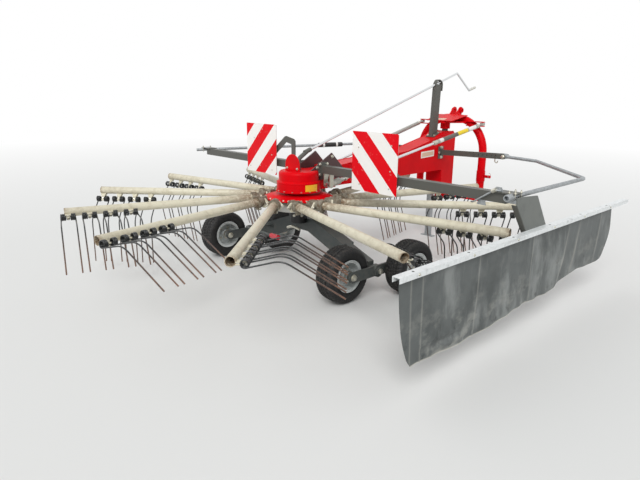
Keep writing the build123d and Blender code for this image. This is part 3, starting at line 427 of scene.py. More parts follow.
# Hot-dip galvanised tube and channel: dull crystals, paler where it has dried
GALVANISED_STEEL = Spangled(
    "galvanised_steel", "#9da1a3", 0.45, metallic=0.55,
    layers=(
        Layer("#6f7273", 50, 0.50, 0.80, amount=0.5, roughness=0.6),
        Layer("#6b5a48", 9, 0.72, 0.8, amount=0.4),
    ),
    grains=(Grain(9.0, 0.05),),
)
# Hot-dip galvanised rail, hardly weathered: nearly white, with faint crystals and long stains
RAIL_ZINC = Spangled(
    "rail_zinc", "#e0e3e3", 0.42, metallic=0.12, spread=0.05,
    layers=(
        Layer("#8f9190", 40, 0.52, 0.80, amount=0.45, roughness=0.6),
        Layer("#6f6f6c", 70, 0.58, 0.75, amount=0.4, stretch=(1.0, 0.12, 1.0)),
    ),
    grains=(Grain(9.0, 0.04),),
)
# Zinc-plated fasteners: bright, with a faint yellow passivation
ZINC_PLATE = Finish(
    "zinc_plate", "#c6c3b6", 0.30, metallic=0.85,
    layers=(Layer("#7d6b4c", 12, 0.56, 0.74, amount=0.7, roughness=0.6, metallic=0.2),),
)
# Enamel on the dampers' barrels: plain mid grey, a little soiled
BARREL_PAINT = Finish(
    "barrel_paint", "#a3a29b", 0.38,
    layers=(FILM, Layer("#4d4b48", 18, 0.62, 0.75, amount=0.6)),
    grains=(ORANGE_PEEL,),
)
# Hard chrome on ground rod: a mirror, hazed by dust in places
CHROME = Finish(
    "chrome_rod", "#dcdedf", 0.12, metallic=0.9,
    layers=(Layer("#8d8b86", 20, 0.62, 0.78, amount=0.5, roughness=0.4),),
)
# Painted bands, smooth and a little dirty
WHITE_BAND = Finish("white_band", "#e4e4e0", 0.35, layers=(Layer("#8f8c84", 20, 0.55, 0.8, amount=0.5),))
YELLOW_BAND = Finish("yellow_band", "#e8cb1c", 0.35, layers=(Layer("#8f7a20", 20, 0.6, 0.8, amount=0.5),))
DARK_BAND = Finish("dark_band", "#5d5a54", 0.40, layers=(FILM,))
# Self-adhesive vinyl, left blank
YELLOW_VINYL = Finish(
    "yellow_vinyl", "#f0bd2c", 0.40, layers=(Layer("#a5761b", 16, 0.55, 0.75, amount=0.6),)
)
WHITE_VINYL = Finish(
    "white_vinyl", "#ece6de", 0.40, layers=(Layer("#a7988c", 16, 0.58, 0.78, amount=0.4),)
)
BEIGE_VINYL = Finish(
    "beige_vinyl", "#dcb9a0", 0.42, layers=(Layer("#a7806c", 16, 0.55, 0.75, amount=0.5),)
)
# Polyethylene guard tube, moulded: waxy yellow with grey dust
YELLOW_GUARD = Finish(
    "yellow_polyethylene", "#d9a719", 0.50, layers=(FILM, Layer("#6f5a22", 30, 0.55, 0.75, amount=0.6))
)
# PVC grip, dip-moulded: glossy red, dirty where a hand holds it
RED_GRIP = Finish(
    "red_grip", "#c4142c", 0.38, coat=0.2, layers=(Layer("#5a1620", 12, 0.60, 0.75, amount=0.5),)
)
# Polyamide, moulded: black, with a fine grain. The same finish makes the black discs in the rail's holes,
# which are painted shade
BLACK_POLYMER_AND_HOLE_SHADE = Finish("black_polymer_and_hole_shade", "#1d1d1e", 0.45, layers=(FILM,), grains=(Grain(2.0, 0.05),))
# Acetal, turned: off-white and waxy
PALE_BUSH = Finish(
    "pale_bush", "#c9c8bf", 0.42, layers=(Layer("#8b877b", 14, 0.52, 0.74, amount=0.6, roughness=0.6),)
)
# Vulcanised rubber: dull black with grey road dust in the tread
TYRE_RUBBER = Finish(
    "tyre_rubber", "#1b1b1c", 0.58, specular=0.4,
    layers=(
        Layer("#45423d", 60, 0.48, 0.80, amount=0.40, roughness=0.85),
        Layer("#5d5a53", 16, 0.45, 0.75, Where.MARKED, 0.45, roughness=0.9),
    ),
    grains=(Grain(1.5, 0.08), Grain(6.0, 0.1)),
)
# Silver enamel on a pressed rim, under grey dust and specks of rust
RIM_ENAMEL = Finish(
    "rim_enamel", "#bfc3c2", 0.40, metallic=0.1,
    layers=(
        Layer("#6a6c68", 35, 0.46, 0.74, amount=0.45, roughness=0.75, metallic=0.0),
        Layer("#6b4a35", 10, 0.66, 0.76, amount=0.7, roughness=0.85, metallic=0.0),
        Layer("#b9bdbc", 25, 0.62, 0.75, amount=0.5),
    ),
    grains=(ORANGE_PEEL,),
)
# PVC-coated polyester cloth: a weave of about 1 mm under a smooth skin, drawn 3 mm so that it shows,
# with chalky runs down it, a dirty foot and pale scuffs
COATED_CLOTH = Finish(
    "coated_cloth", "#5c605f", 0.48, specular=0.3,
    layers=(
        Layer("#434746", 380, 0.46, 0.68, amount=0.75),
        Layer("#959896", 200, 0.47, 0.68, amount=0.60, roughness=0.6, stretch=(1.0, 1.0, 0.40)),
        Layer("#9da09d", 60, 0.58, 0.78, amount=0.45, roughness=0.6, stretch=(1.0, 1.0, 0.12)),
        Layer("#a3a39c", 190, 0.50, 0.66, Where.LOW, 0.75, roughness=0.75, stretch=(1.0, 1.0, 1.6)),
        Layer("#343534", 70, 0.56, 0.70, Where.LOW, 0.70, roughness=0.75),
        Layer("#c9c6bc", 12, 0.15, 0.45, Where.MARKED, 1.0, roughness=0.8),
    ),
    grains=(Grain(3.0, 0.10), Grain(40.0, 0.5, (1.0, 1.0, 0.4))),
)
# Retroreflective sheeting on aluminium board: cells of glass beads under a smooth skin, chipped in specks
BOARD_SHEETING = StripedSheeting(
    "striped_sheeting", "#e00416", 0.40, specular=0.12,
    layers=(Layer("#c9c2b8", 30, 0.60, 0.80, amount=0.35), Layer("#6d5f58", 5, 0.74, 0.79, amount=0.6)),
    grains=(Grain(4.0, 0.03, cells=True),),
)


def unit(vector: np.ndarray) -> np.ndarray:
    """Scale a vector to a length of one."""
    return vector / np.linalg.norm(vector)


def across(direction: np.ndarray) -> tuple[np.ndarray, np.ndarray]:
    """Find two directions square to one and to each other.

    Args:
        direction: the direction, of length one.

    Returns:
        Two directions of length one.
    """
    side = unit(np.cross(direction, UP if abs(direction[2]) < 0.9 else np.array(RIGHT)))
    return side, np.cross(direction, side)


def rounded(points: list[Point], radius: float, steps: int = 8) -> np.ndarray:
    """Round the inner corners of a line.

    Args:
        points: the line's corners.
        radius: how far from each corner the curve starts and ends.
        steps: the pieces that each curve has.

    Returns:
        The points along the rounded line.
    """
    corners = [np.array(p, float) for p in points]
    line = [corners[0]]
    for before, corner, after in zip(corners, corners[1:], corners[2:]):
        start = corner + unit(before - corner) * min(radius, np.linalg.norm(before - corner) / 2)
        end = corner + unit(after - corner) * min(radius, np.linalg.norm(after - corner) / 2)
        for t in np.linspace(0, 1, steps + 1):
            line.append((1 - t) ** 2 * start + 2 * t * (1 - t) * corner + t * t * end)
    return np.array([*line, corners[-1]])


class Workpiece:
    """Collects the forms of one piece and makes it a mesh."""

    # A washer's and a hexagon head's profiles, as shares of the thread's diameter
    WASHER: ClassVar[Profile] = [(1.15, 0.0), (1.15, 0.22), (1.05, 0.26)]
    HEXAGON: ClassVar[Profile] = [(0.98, 0.2), (0.98, 0.8), (0.80, 0.92)]

    def __init__(self, name: str) -> None:
        """Start an empty piece.

        Args:
            name: the piece's name in the scene.
        """
        self.name = name
        self.points: list[np.ndarray] = []
        self.faces: list[tuple[int, ...]] = []
        self.finishes: list[int] = []
        self.wear: list[np.ndarray] = []
        self.count = 0

    def grow(
        self,
        points: np.ndarray,
        faces: list[tuple[int, ...]],
        finish: int = 0,
        wear: float | np.ndarray = 0.0,
    ) -> None:
        """Add points and the faces between them.

        Args:
            points: one row for each point.
            faces: the rows that each face joins.
            finish: the number of the faces' finish.
            wear: how worn each point is, from 0 to 1.
        """
        self.points.append(np.asarray(points, float))
        self.faces += [tuple(i + self.count for i in face) for face in faces]
        self.finishes += [finish] * len(faces)
        self.wear.append(np.broadcast_to(np.asarray(wear, float), len(points)))
        self.count += len(points)

    def rings(self, rings: np.ndarray, finish: int, wear: float | np.ndarray, loop: bool) -> None:
        """Join rings of points into a closed skin.

        Args:
            rings: an array of rings, each with the same number of points.
            finish: the number of the finish.
            wear: how worn each ring is.
            loop: whether the last ring meets the first, in place of two end faces.
        """
        count, sides, _ = rings.shape
        faces = []
        for i in range(count if loop else count - 1):
            j = (i + 1) % count
            for k in range(sides):
                m = (k + 1) % sides
                faces.append((i * sides + k, i * sides + m, j * sides + m, j * sides + k))
        if not loop:
            faces += [tuple(range(sides))[::-1], tuple(range((count - 1) * sides, count * sides))]
        marks = np.repeat(np.broadcast_to(np.asarray(wear, float), count), sides)
        self.grow(rings.reshape(-1, 3), faces, finish, marks)

    def sweep(
        self,
        path: np.ndarray,
        radius: float | np.ndarray,
        sides: int = 12,
        finish: int = 0,
        wear: float | np.ndarray = 0.0,
    ) -> None:
        """Draw a round bar along a path.

        Args:
            path: the points of its centreline.
            radius: the bar's radius, or one for each point.
            sides: the faces round it.
            finish: the number of the finish.
            wear: how worn each point of the path is.
        """
        path = np.asarray(path, float)
        tangents = np.gradient(path, axis=0)
        radii = np.broadcast_to(np.asarray(radius, float), len(path))
        angles = np.linspace(0, 2 * math.pi, sides, endpoint=False)
        side = across(unit(tangents[0]))[0]
        rings = []
        for point, tangent, size in zip(path, tangents, radii):
            tangent = unit(tangent)
            side = unit(side - tangent * (side @ tangent))
            other = np.cross(tangent, side)
            rings.append(point + size * (np.cos(angles)[:, None] * side + np.sin(angles)[:, None] * other))
        self.rings(np.array(rings), finish, wear, False)

    def turn(
        self,
        profile: Profile,
        start: Point | np.ndarray,
        axis: Point | np.ndarray,
        sides: int = 24,
        finish: int = 0,
        wear: float | np.ndarray = 0.0,
        loop: bool = False,
    ) -> None:
        """Turn a profile about an axis, as on a lathe.

        Args:
            profile: pairs of a radius and a distance along the axis, up the outside first.
            start: the point where that distance is 0.
            axis: the axis' direction.
            sides: the faces round it.
            finish: the number of the finish.
            wear: how worn each point of the profile is.
            loop: whether the profile closes on itself.
        """
        direction = unit(np.asarray(axis, float))
        side, other = across(direction)
        angles = np.linspace(0, 2 * math.pi, sides, endpoint=False)
        circle = np.cos(angles)[:, None] * side + np.sin(angles)[:, None] * other
        base = np.asarray(start, float)
        rings = np.array([base + direction * along + radius * circle for radius, along in profile])
        self.rings(rings, finish, wear, loop)

    def band(
        self,
        radii: tuple[float, float],
        ends: tuple[float, float],
        start: Point | np.ndarray,
        axis: Point | np.ndarray,
        sides: int = 24,
        finish: int = 0,
        ease: float = 0.0,
    ) -> None:
        """Turn a ring about an axis.

        Args:
            radii: its inner and outer radius.
            ends: where it starts and ends along the axis.
            start: the point where that distance is 0.
            axis: the axis' direction.
            sides: the faces round it.
            finish: the number of the finish.
            ease: how much shorter its outer skin is at each end.
        """
        (inner, outer), (low, high) = radii, ends
        profile = [(inner, low), (outer, low + ease), (outer, high - ease), (inner, high)]
        self.turn(profile, start, axis, sides, finish, loop=True)

    def plate(
        self,
        outline: Profile,
        corner: Point | np.ndarray,
        right: Point | np.ndarray,
        up: Point | np.ndarray,
        thickness: float,
        finish: int = 0,
    ) -> None:
        """Cut a flat plate to an outline.

        Args:
            outline: the outline's points, in order against the clock.
            corner: where the outline's own 0, 0 lies.
            right: the outline's first direction.
            up: its second direction.
            thickness: how far the plate grows along right times up.
            finish: the number of the finish.
        """
        u, v = unit(np.asarray(right, float)), unit(np.asarray(up, float))
        face = np.array([np.asarray(corner, float) + u * a + v * b for a, b in outline])
        self.rings(np.array([face, face + np.cross(u, v) * thickness]), finish, 0.0, False)

    def strap(self, path: np.ndarray, wide: Point, width: float, thickness: float, finish: int = 0) -> None:
        """Bend a flat bar along a path.

        Args:
            path: the points of its centreline.
            wide: the direction of its width, square to the path.
            width: its width.
            thickness: its thickness.
            finish: the number of the finish.
        """
        path = np.asarray(path, float)
        side = unit(np.asarray(wide, float)) * width / 2
        rings = []
        for point, tangent in zip(path, np.gradient(path, axis=0)):
            out = unit(np.cross(tangent, side)) * thickness / 2
            rings.append(point + np.array([-side - out, side - out, side + out, out - side]))
        self.rings(np.array(rings), finish, 0.0, False)

    def bolt(
        self, place: Point | np.ndarray, facing: Point | np.ndarray, size: float = 0.012, finish: int = 0
    ) -> None:
        """Set a hexagon bolt head on its washer.

        Args:
            place: the point under the washer.
            facing: the way the head stands out.
            size: the thread's diameter.
            finish: the number of the finish.
        """
        facing = unit(np.asarray(facing, float))
        base = np.asarray(place, float) - facing * 0.1 * size
        for shares, sides in ((self.WASHER, 14), (self.HEXAGON, 6)):
            profile = [(radius * size, along * size) for radius, along in shares]
            self.turn(profile, base, facing, sides, finish)

    def finish(
        self,
        finishes: list[Finish],
        body: str,
        slot: str,
        bevel: float = 0.0,
        sharp: float = 38.0,
    ) -> bpy.types.Object:
        """Make the mesh, give it its finishes and let it ride on a body.

        Args:
            finishes: the finishes, in the order of their numbers.
            body: the body that it moves with.
            slot: a material slot's name; not used.
            bevel: the width of its rounded edges.
            sharp: the angle in degrees from which an edge stays sharp.

        Returns:
            The piece.
        """
        mesh = bpy.data.meshes.new(self.name)
        points = np.concatenate(self.points) + AXIS
        mesh.from_pydata(points.tolist(), [], self.faces)
        marks = mesh.attributes.new("wear", "FLOAT", "POINT")
        marks.data.foreach_set("value", np.concatenate(self.wear).astype(np.float32))
        for finish in finishes:
            mesh.materials.append(finish.material())
        mesh.polygons.foreach_set("material_index", self.finishes)
        mesh.polygons.foreach_set("use_smooth", [True] * len(mesh.polygons))
        mesh.set_sharp_from_angle(angle=math.radians(sharp))
        mesh.update()
        piece = bpy.data.objects.new(self.name, mesh)
        bpy.context.scene.collection.objects.link(piece)
        if bevel:
            rounding = piece.modifiers.new("rounded_edges", "BEVEL")
            rounding.width = bevel
            rounding.segments = 2
            rounding.limit_method = "ANGLE"
        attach(piece, body)
        LOG.info("%s: %d faces on %s", self.name, len(self.faces), body)
        return piece


def dress(finish: Finish, *nodes: str) -> None:
    """Give CAD nodes a finish.

    Args:
        finish: the finish.
        nodes: the nodes' names.
    """
    for node in nodes:
        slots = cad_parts[node].data.materials
        slots.clear()
        slots.append(finish.material())
        LOG.info("%s: %s", node, finish.title)


def plan(x: float, y: float, angle: float) -> np.ndarray:
    """Turn a point of the plan about the rotor's axis.

    Args:
        x: metres to the right.
        y: metres ahead.
        angle: the turn in degrees.

    Returns:
        The point at height 0.
    """
    c, s = math.cos(math.radians(angle)), math.sin(math.radians(angle))
    return np.array([x * c - y * s, x * s + y * c, 0.0])


@dataclass
class TineArms:
    """The ring of tine arms with their clips and double tines."""

    first: float = -46.94
    height: float = 0.640
    offset: float = 0.147
    start: float = 0.345
    end: float = 1.700
    radius: float = 0.030
    wall: float = 0.005
    lowered: tuple[float, ...] = (0, 22, 50, 70, 74, 74, 74, 74, 70, 57, 12, 0)
    rows: int = 4
    pitch: float = 0.136
    outer_clip: float = 1.678
    coil_reach: float = 0.078
    coil_drop: float = 0.003
    coil_radius: float = 0.0207
    coil_start: float = 0.0158
    coil_pitch: float = 0.0096
    coil_turns: float = 3.25
    wire: float = 0.0046
    rise: float = 13.9
    bend: float = 45.0
    bend_reach: float = 0.050
    upper: float = 0.188
    lower: float = 0.365
    clip_plate: float = 0.006
    points_a_turn: int = 13
    worn_length: float = 0.30  # metres of each tine, from its tip, that hay has worn

    def axes(self, direction: float) -> tuple[np.ndarray, np.ndarray]:
        """Find an arm's place.

        Args:
            direction: the arm's direction in degrees.

        Returns:
            The point beside the rotor's axis, and the arm's trailing, up and outward directions in rows.
        """
        origin = plan(0.0, -self.offset, direction) + UP * self.height
        return origin, np.array([plan(0, 1, direction), UP, plan(1, 0, direction)])

    def tine_line(self) -> tuple[np.ndarray, np.ndarray]:
        """Draw one double tine's wire, from one tip through both coils to the other.

        Returns:
            The points in the arm's own directions about the clip, and how worn each is.
        """
        rise = math.radians(self.rise)
        slope = np.array([math.cos(rise), math.sin(rise)])
        centre = np.array([self.coil_reach, -self.coil_drop])
        foot = centre + self.coil_radius * np.array([slope[1], -slope[0]])
        knee = foot + self.upper * slope
        dip = rise - math.radians(self.bend)
        tip = knee + self.lower * np.array([math.cos(dip), math.sin(dip)])
        # The straight wire leaves just short of the coil's last turn, so that the two run on smoothly
        last = self.coil_start + self.coil_pitch * (self.coil_turns - 0.08)
        line = rounded([(*tip, last), (*knee, last), (*foot, last)], self.bend_reach, 9)
        turns = np.linspace(0, self.coil_turns, int(self.coil_turns * self.points_a_turn) + 1)[1:]
        angle = -math.pi / 2 + rise - 2 * math.pi * turns
        coil = np.stack(
            [
                self.coil_reach + self.coil_radius * np.cos(angle),
                -self.coil_drop + self.coil_radius * np.sin(angle),
                self.coil_start + self.coil_pitch * (self.coil_turns - turns),
            ],
            axis=1,
        )
        half = np.concatenate([line, coil])
        reach = np.linalg.norm(np.diff(half, axis=0), axis=1).cumsum()
        worn = np.clip(1.05 - np.concatenate([[0.0], reach]) / self.worn_length, 0, 1)
        mirrored = half[::-1] * np.array([1, 1, -1])
        return np.concatenate([half, mirrored]), np.concatenate([worn, worn[::-1]])

    def build(self) -> None:
        """Build the tubes, the clips and the double tines."""
        tubes, clips = Workpiece("tine_arm_tubes"), Workpiece("tine_clips")
        springs = Workpiece("double_tines")
        wire_line, worn = self.tine_line()
        inner = self.radius - self.wall
        # Up the tube's outside, over its lip and into its mouth: radius, distance and wear. The full wear in
        # the mouth paints it rust-brown, which is partly real rust and partly painted shade in the bore
        tube = [
            (self.radius, self.start, 1.0), (self.radius, self.start + 0.10, 0.62),
            (self.radius, self.start + 0.34, 0.0), (self.radius, self.end - 0.45, 0.0),
            (self.radius, self.end - 0.03, 0.25), (self.radius, self.end - 0.0012, 0.75),
            (self.radius - 0.0012, self.end, 0.9), (inner + 0.001, self.end, 0.9),
            (inner, self.end - 0.001, 1.0), (inner - 0.0005, self.end - 0.16, 1.0),
        ]
        for number, lowered in enumerate(self.lowered):
            origin, axes = self.axes(self.first + number * ARM_STEP)
            trail, up, out = axes
            tubes.turn([(r, a) for r, a, _ in tube], origin, out, 28, 0, [wear for *_, wear in tube])
            swing = math.radians(-lowered)
            c, s = math.cos(swing), math.sin(swing)
            turned_axes = np.array([c * trail + s * up, -s * trail + c * up, out])
            for row in range(self.rows):
                seat = origin + out * (self.outer_clip - row * self.pitch)
                springs.sweep(seat + wire_line @ turned_axes, self.wire, 8, 0, worn)
                self.clip(clips, seat, turned_axes)
        arms = tubes.finish([CREAM_ENAMEL], "rotor", "ivory")
        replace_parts(arms, "tine_arms")
        tines = springs.finish([SPRING_STEEL], "rotor", "spring", sharp=60.0)
        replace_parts(tines, "spring_tines")
        clips.finish([CREAM_ENAMEL, ZINC_PLATE], "rotor", "ivory")

    def clip(self, clips: Workpiece, seat: np.ndarray, axes: np.ndarray) -> None:
        """Add one clip: a pressed plate that tapers to the coils, with a flange at each side and its bolt.

        Args:
            clips: the piece that gets it.
            seat: the clip's point on the arm's axis.
            axes: its trailing, up and outward directions in rows.
        """
        trail, up, out = axes
        root, nose = self.radius - 0.004, self.coil_reach + 0.016
        outline = [(root, -0.024), (self.coil_reach - 0.02, -0.0125), (nose - 0.006, -0.0105), (nose, -0.004)]
        outline += [(a, -b) for a, b in outline[::-1]]
        clips.plate(outline, seat - up * (self.coil_drop + self.clip_plate / 2), trail, -out, self.clip_plate)
        for way in (-1, 1):
            low = seat - up * (self.coil_drop + 0.012) + out * way * 0.0225
            flange = np.array([low + trail * root, low + trail * (root + 0.022) - out * way * 0.008])
            clips.sweep(flange, 0.0045, 8)
        head = seat + trail * (self.coil_reach - 0.006) - up * (self.coil_drop - self.clip_plate / 2)
        clips.bolt(head, up, 0.010, 1)
        clips.bolt(head - up * (self.clip_plate + 0.012), -up, 0.010, 1)


@dataclass
class Hub:
    """The rotor's dish, drum and arm carriers."""

    arms: TineArms
    dish_bolt_circle: float = 0.262
    dish_bolt_height: float = 0.6595
    bolt_spread: float = 4.6
    pinch_bolt: float = 0.325
    flange: float = 0.272

    def build(self) -> None:
        """Dress the CAD nodes and add the bolts, the pinch collars and the carriers' flanges."""
        dress(RED_ENAMEL, "rotor_dish")
        dress(DRUM_STEEL, "rotor_drum")
        dress(CAST_IRON, "arm_carriers")
        work = Workpiece("hub_fittings")
        half = [(0.070, 0), (0.035, 0.036), (-0.035, 0.036)]
        outline = [(-a, -b) for a, b in half] + half
        for number in range(len(self.arms.lowered)):
            direction = self.arms.first + number * ARM_STEP
            for spread in (-self.bolt_spread, self.bolt_spread):
                place = plan(self.dish_bolt_circle, 0, direction + spread - ARM_STEP / 2)
                work.bolt(place + UP * self.dish_bolt_height, UP, 0.0085, 0)
            origin, (trail, up, out) = self.arms.axes(direction)
            # Pinch collar on the arm's root, with its lug and bolt below
            work.band((0.0415, 0.0462), (0.306, 0.344), origin, out, 24, 1, ease=0.003)
            lug = origin + out * self.pinch_bolt - up * 0.050
            work.bolt(lug + trail * 0.02, trail, 0.010, 0)
            work.turn([(0.013, -0.018), (0.013, 0.018)], lug, trail, 12, 1)
            # Two-bolt flange where the carrier leaves the drum
            face = origin + out * self.flange - up * 0.012
            work.plate(outline, face, trail, up, 0.012, 2)
            for way in (-1, 1):
                work.bolt(face + out * 0.012 + trail * 0.052 * way, out, 0.012, 0)
        work.finish([ZINC_PLATE, CAST_IRON, CREAM_ENAMEL], "rotor", "cast", bevel=0.0012)


@dataclass
class Housing:
    """The gear housing with its hood, shield and side plates."""

    radius: float = 0.173
    lip: float = 0.182
    bottom: float = 0.702
    wall: float = 0.074
    hood: float = 0.158
    hood_top: float = 0.862
    plate_face: float = 0.102
    shield: tuple[float, float, float] = (0.080, -0.058, 0.986)  # half its width, its rear face and its top
    lip_bolts: int = 16
    # Bolts in the side plates, as pairs of y and height
    plate_bolts: tuple[tuple[float, float], ...] = (
        (0.265, 0.958), (0.105, 0.880), (0.22, 0.812), (0.405, 0.808), (0.34, 0.850),
    )

    def build(self) -> None:
        """Dress the nodes and add bolts, seams and a blank patch."""
        dress(RED_ENAMEL, "gear_housing", "housing_shield")
        dress(MAROON_POWDER_COAT, "side_plates")
        work = Workpiece("housing_fittings")
        for number in range(self.lip_bolts):
            place = plan(self.lip - 0.0045, 0, (number + 0.5) * 360 / self.lip_bolts)
            # None under the boom
            if place[1] < 0.1:
                work.bolt(place + UP * (self.bottom + 0.009), UP, 0.006, 0)
        # Raised seam round the housing's shoulder and a bead round the hood's foot
        inner, outer, shoulder = self.radius - 0.010, self.radius + 0.0022, self.bottom + self.wall
        seam = [(inner, -0.009), (outer, -0.008), (outer, -0.001), (inner, 0.0)]
        work.turn(seam, UP * (shoulder + 0.001), UP, 72, 1, loop=True)
        foot = [(-0.004, 0.0), (0.007, 0.0), (0.006, 0.004), (-0.002, 0.010)]
        work.turn([(self.hood + out, up) for out, up in foot], UP * shoulder, UP, 72, 1, loop=True)
        # Rim of the arched shield, with its two foot bolts
        half, rear, top = self.shield
        arc = [(half * math.cos(a), top - half + half * math.sin(a)) for a in np.linspace(0, math.pi, 17)]
        ends = self.hood_top - 0.004
        rim = [(x, rear - 0.004, z) for x, z in ((half, ends), *arc, (-half, ends))]
        work.sweep(np.array(rim), 0.0052, 8, 1)
        for x in (-0.06, 0.06):
            work.bolt((x, rear - 0.008, self.hood_top + 0.018), (0, -1, 0), 0.009, 0)
        for side in (-1, 1):
            for y, z in self.plate_bolts:
                work.bolt((side * self.plate_face, y, z), (side, 0, 0), 0.012, 0)
        self.patch(work)
        work.finish([ZINC_PLATE, RED_ENAMEL, YELLOW_VINYL], "frame", "red")

    def patch(self, work: Workpiece) -> None:
        """Bend the blank yellow patch round the housing's wall.

        Args:
            work: the piece that gets it.
        """
        low, high, reach = self.bottom + 0.014, self.bottom + 0.064, self.radius + 0.0008
        section = ((reach - 0.002, low), (reach - 0.002, high), (reach, high), (reach, low))
        rings = [[plan(r, 0, angle) + UP * z for r, z in section] for angle in np.linspace(-23, 15, 15)]
        work.rings(np.array(rings), 2, 0.0, False)


@dataclass
class Boom:
    """The boom with its nose, and the drive shaft's guard."""

    half: float = 0.092
    shaft_height: float = 0.748
    # Weld beads along the top fold, down the nose and round its foot, as pairs of y and height
    welds: tuple[tuple[tuple[float, float], ...], ...] = (
        ((0.46, 0.8886), (1.25, 0.936), (1.70, 1.036), (1.80, 1.078), (1.96, 1.092), (2.0, 1.052)),
        ((2.0, 1.050), (2.0, 0.475)),
        ((1.802, 0.712), (1.810, 0.474), (1.998, 0.470)),
    )
    # Bolts in the nose: y, height and thread
    nose_bolts: tuple[Point, ...] = ((1.765, 0.845, 0.014), (1.765, 0.941, 0.014), (1.735, 0.892, 0.012))
    patch: tuple[float, float] = (1.452, 0.854)

    def build(self) -> None:
        """Dress the nodes and add welds, bolts, the guard's bands and a blank patch."""
        dress(RED_ENAMEL, "boom")
        dress(YELLOW_GUARD, "shaft_guard")
        dress(ZINC_PLATE, "input_shaft")
        work = Workpiece("boom_fittings")
        for side in (-1, 1):
            for weld in self.welds:
                work.sweep(np.array([(side * self.half, y, z) for y, z in weld]), 0.0035, 8, 0)
            for y, z, thread in self.nose_bolts:
                work.bolt((side * (self.half + 0.008), y, z), (side, 0, 0), thread, 1)
        # Blank patch on the right-hand face: a white border about a paler field
        border = [(0, 0), (0.206, 0.009), (0.206, 0.069), (0, 0.061)]
        field = [(0.014, 0.012), (0.192, 0.020), (0.192, 0.057), (0.014, 0.050)]
        for outline, proud, finish in ((border, 0.0008, 2), (field, 0.0014, 3)):
            work.plate(outline, (self.half, *self.patch), AHEAD, UP, proud, finish)
        # Steel bands that hold the drive shaft's guard
        for y in (0.52, 0.95, 1.40):
            work.band((0.0320, 0.0348), (-0.012, 0.012), (0, y, self.shaft_height), AHEAD, 28, 1)
        work.finish([RED_ENAMEL, ZINC_PLATE, WHITE_VINYL, BEIGE_VINYL], "frame", "red")


@dataclass
class Headstock:
    """The arched headstock with its link points."""

    place: float = 2.080
    arch: float = 0.372
    pin_height: float = 0.660
    beam_top: float = 0.4615
    saddle: Point = (0, 1.838, 1.1900)
    slope: Point = (0.0, 0.220, 0.054)
    top_link: Point = (0, 2.150, 1.290)

    def build(self) -> None:
        """Dress the nodes and add collars, linchpin rings, welds, the saddle plate and the bosses."""
        dress(RED_ENAMEL, "headstock")
        dress(GREY_POWDER_COAT, "swivel_pins")
        work = Workpiece("headstock_fittings")
        turns = np.linspace(0, 2 * math.pi, 19)
        weld = [(0.036, 0.0), (0.044, 0.0), (0.038, 0.010)]
        for side in (-1, 1):
            # Reinforcing collar at the lower link pin, with the linchpin's ring
            pin = np.array([side * self.arch, self.place, self.pin_height])
            work.band((0.0370, 0.0425), (-0.055, 0.055), pin, UP, 32, 0, ease=0.003)
            ring = [(side * 0.094, 0.021 * math.cos(a), 0.012 + 0.024 * math.sin(a)) for a in turns]
            work.sweep(pin + np.array(ring), 0.0022, 6, 1)
            # Weld where the leg stands on the cross beam
            work.turn(weld, (side * self.arch, self.place, self.beam_top), UP, 32, 0, loop=True)
            work.bolt((side * 0.20, 2.038, 0.436), (0, -1, 0), 0.014, 1)
        # Sloping saddle plate between the crown plate and the arch, with a blank patch on it
        outline = [(-0.150, 0), (0.150, 0), (0.185, 0.224), (-0.185, 0.224)]
        work.plate(outline, self.saddle, RIGHT, self.slope, 0.006, 0)
        patch = [(-0.055, 0.020), (0.045, 0.020), (0.045, 0.075), (-0.055, 0.075)]
        work.plate(patch, np.add(self.saddle, (0, 0, 0.0055)), RIGHT, self.slope, 0.0015, 2)
        # Bosses beside the top link
        for start in (-0.058, 0.0425):
            work.band((0.0135, 0.0240), (start, start + 0.015), self.top_link, RIGHT, 24, 0)
        work.finish([RED_ENAMEL, ZINC_PLATE, BEIGE_VINYL], "headstock", "red")


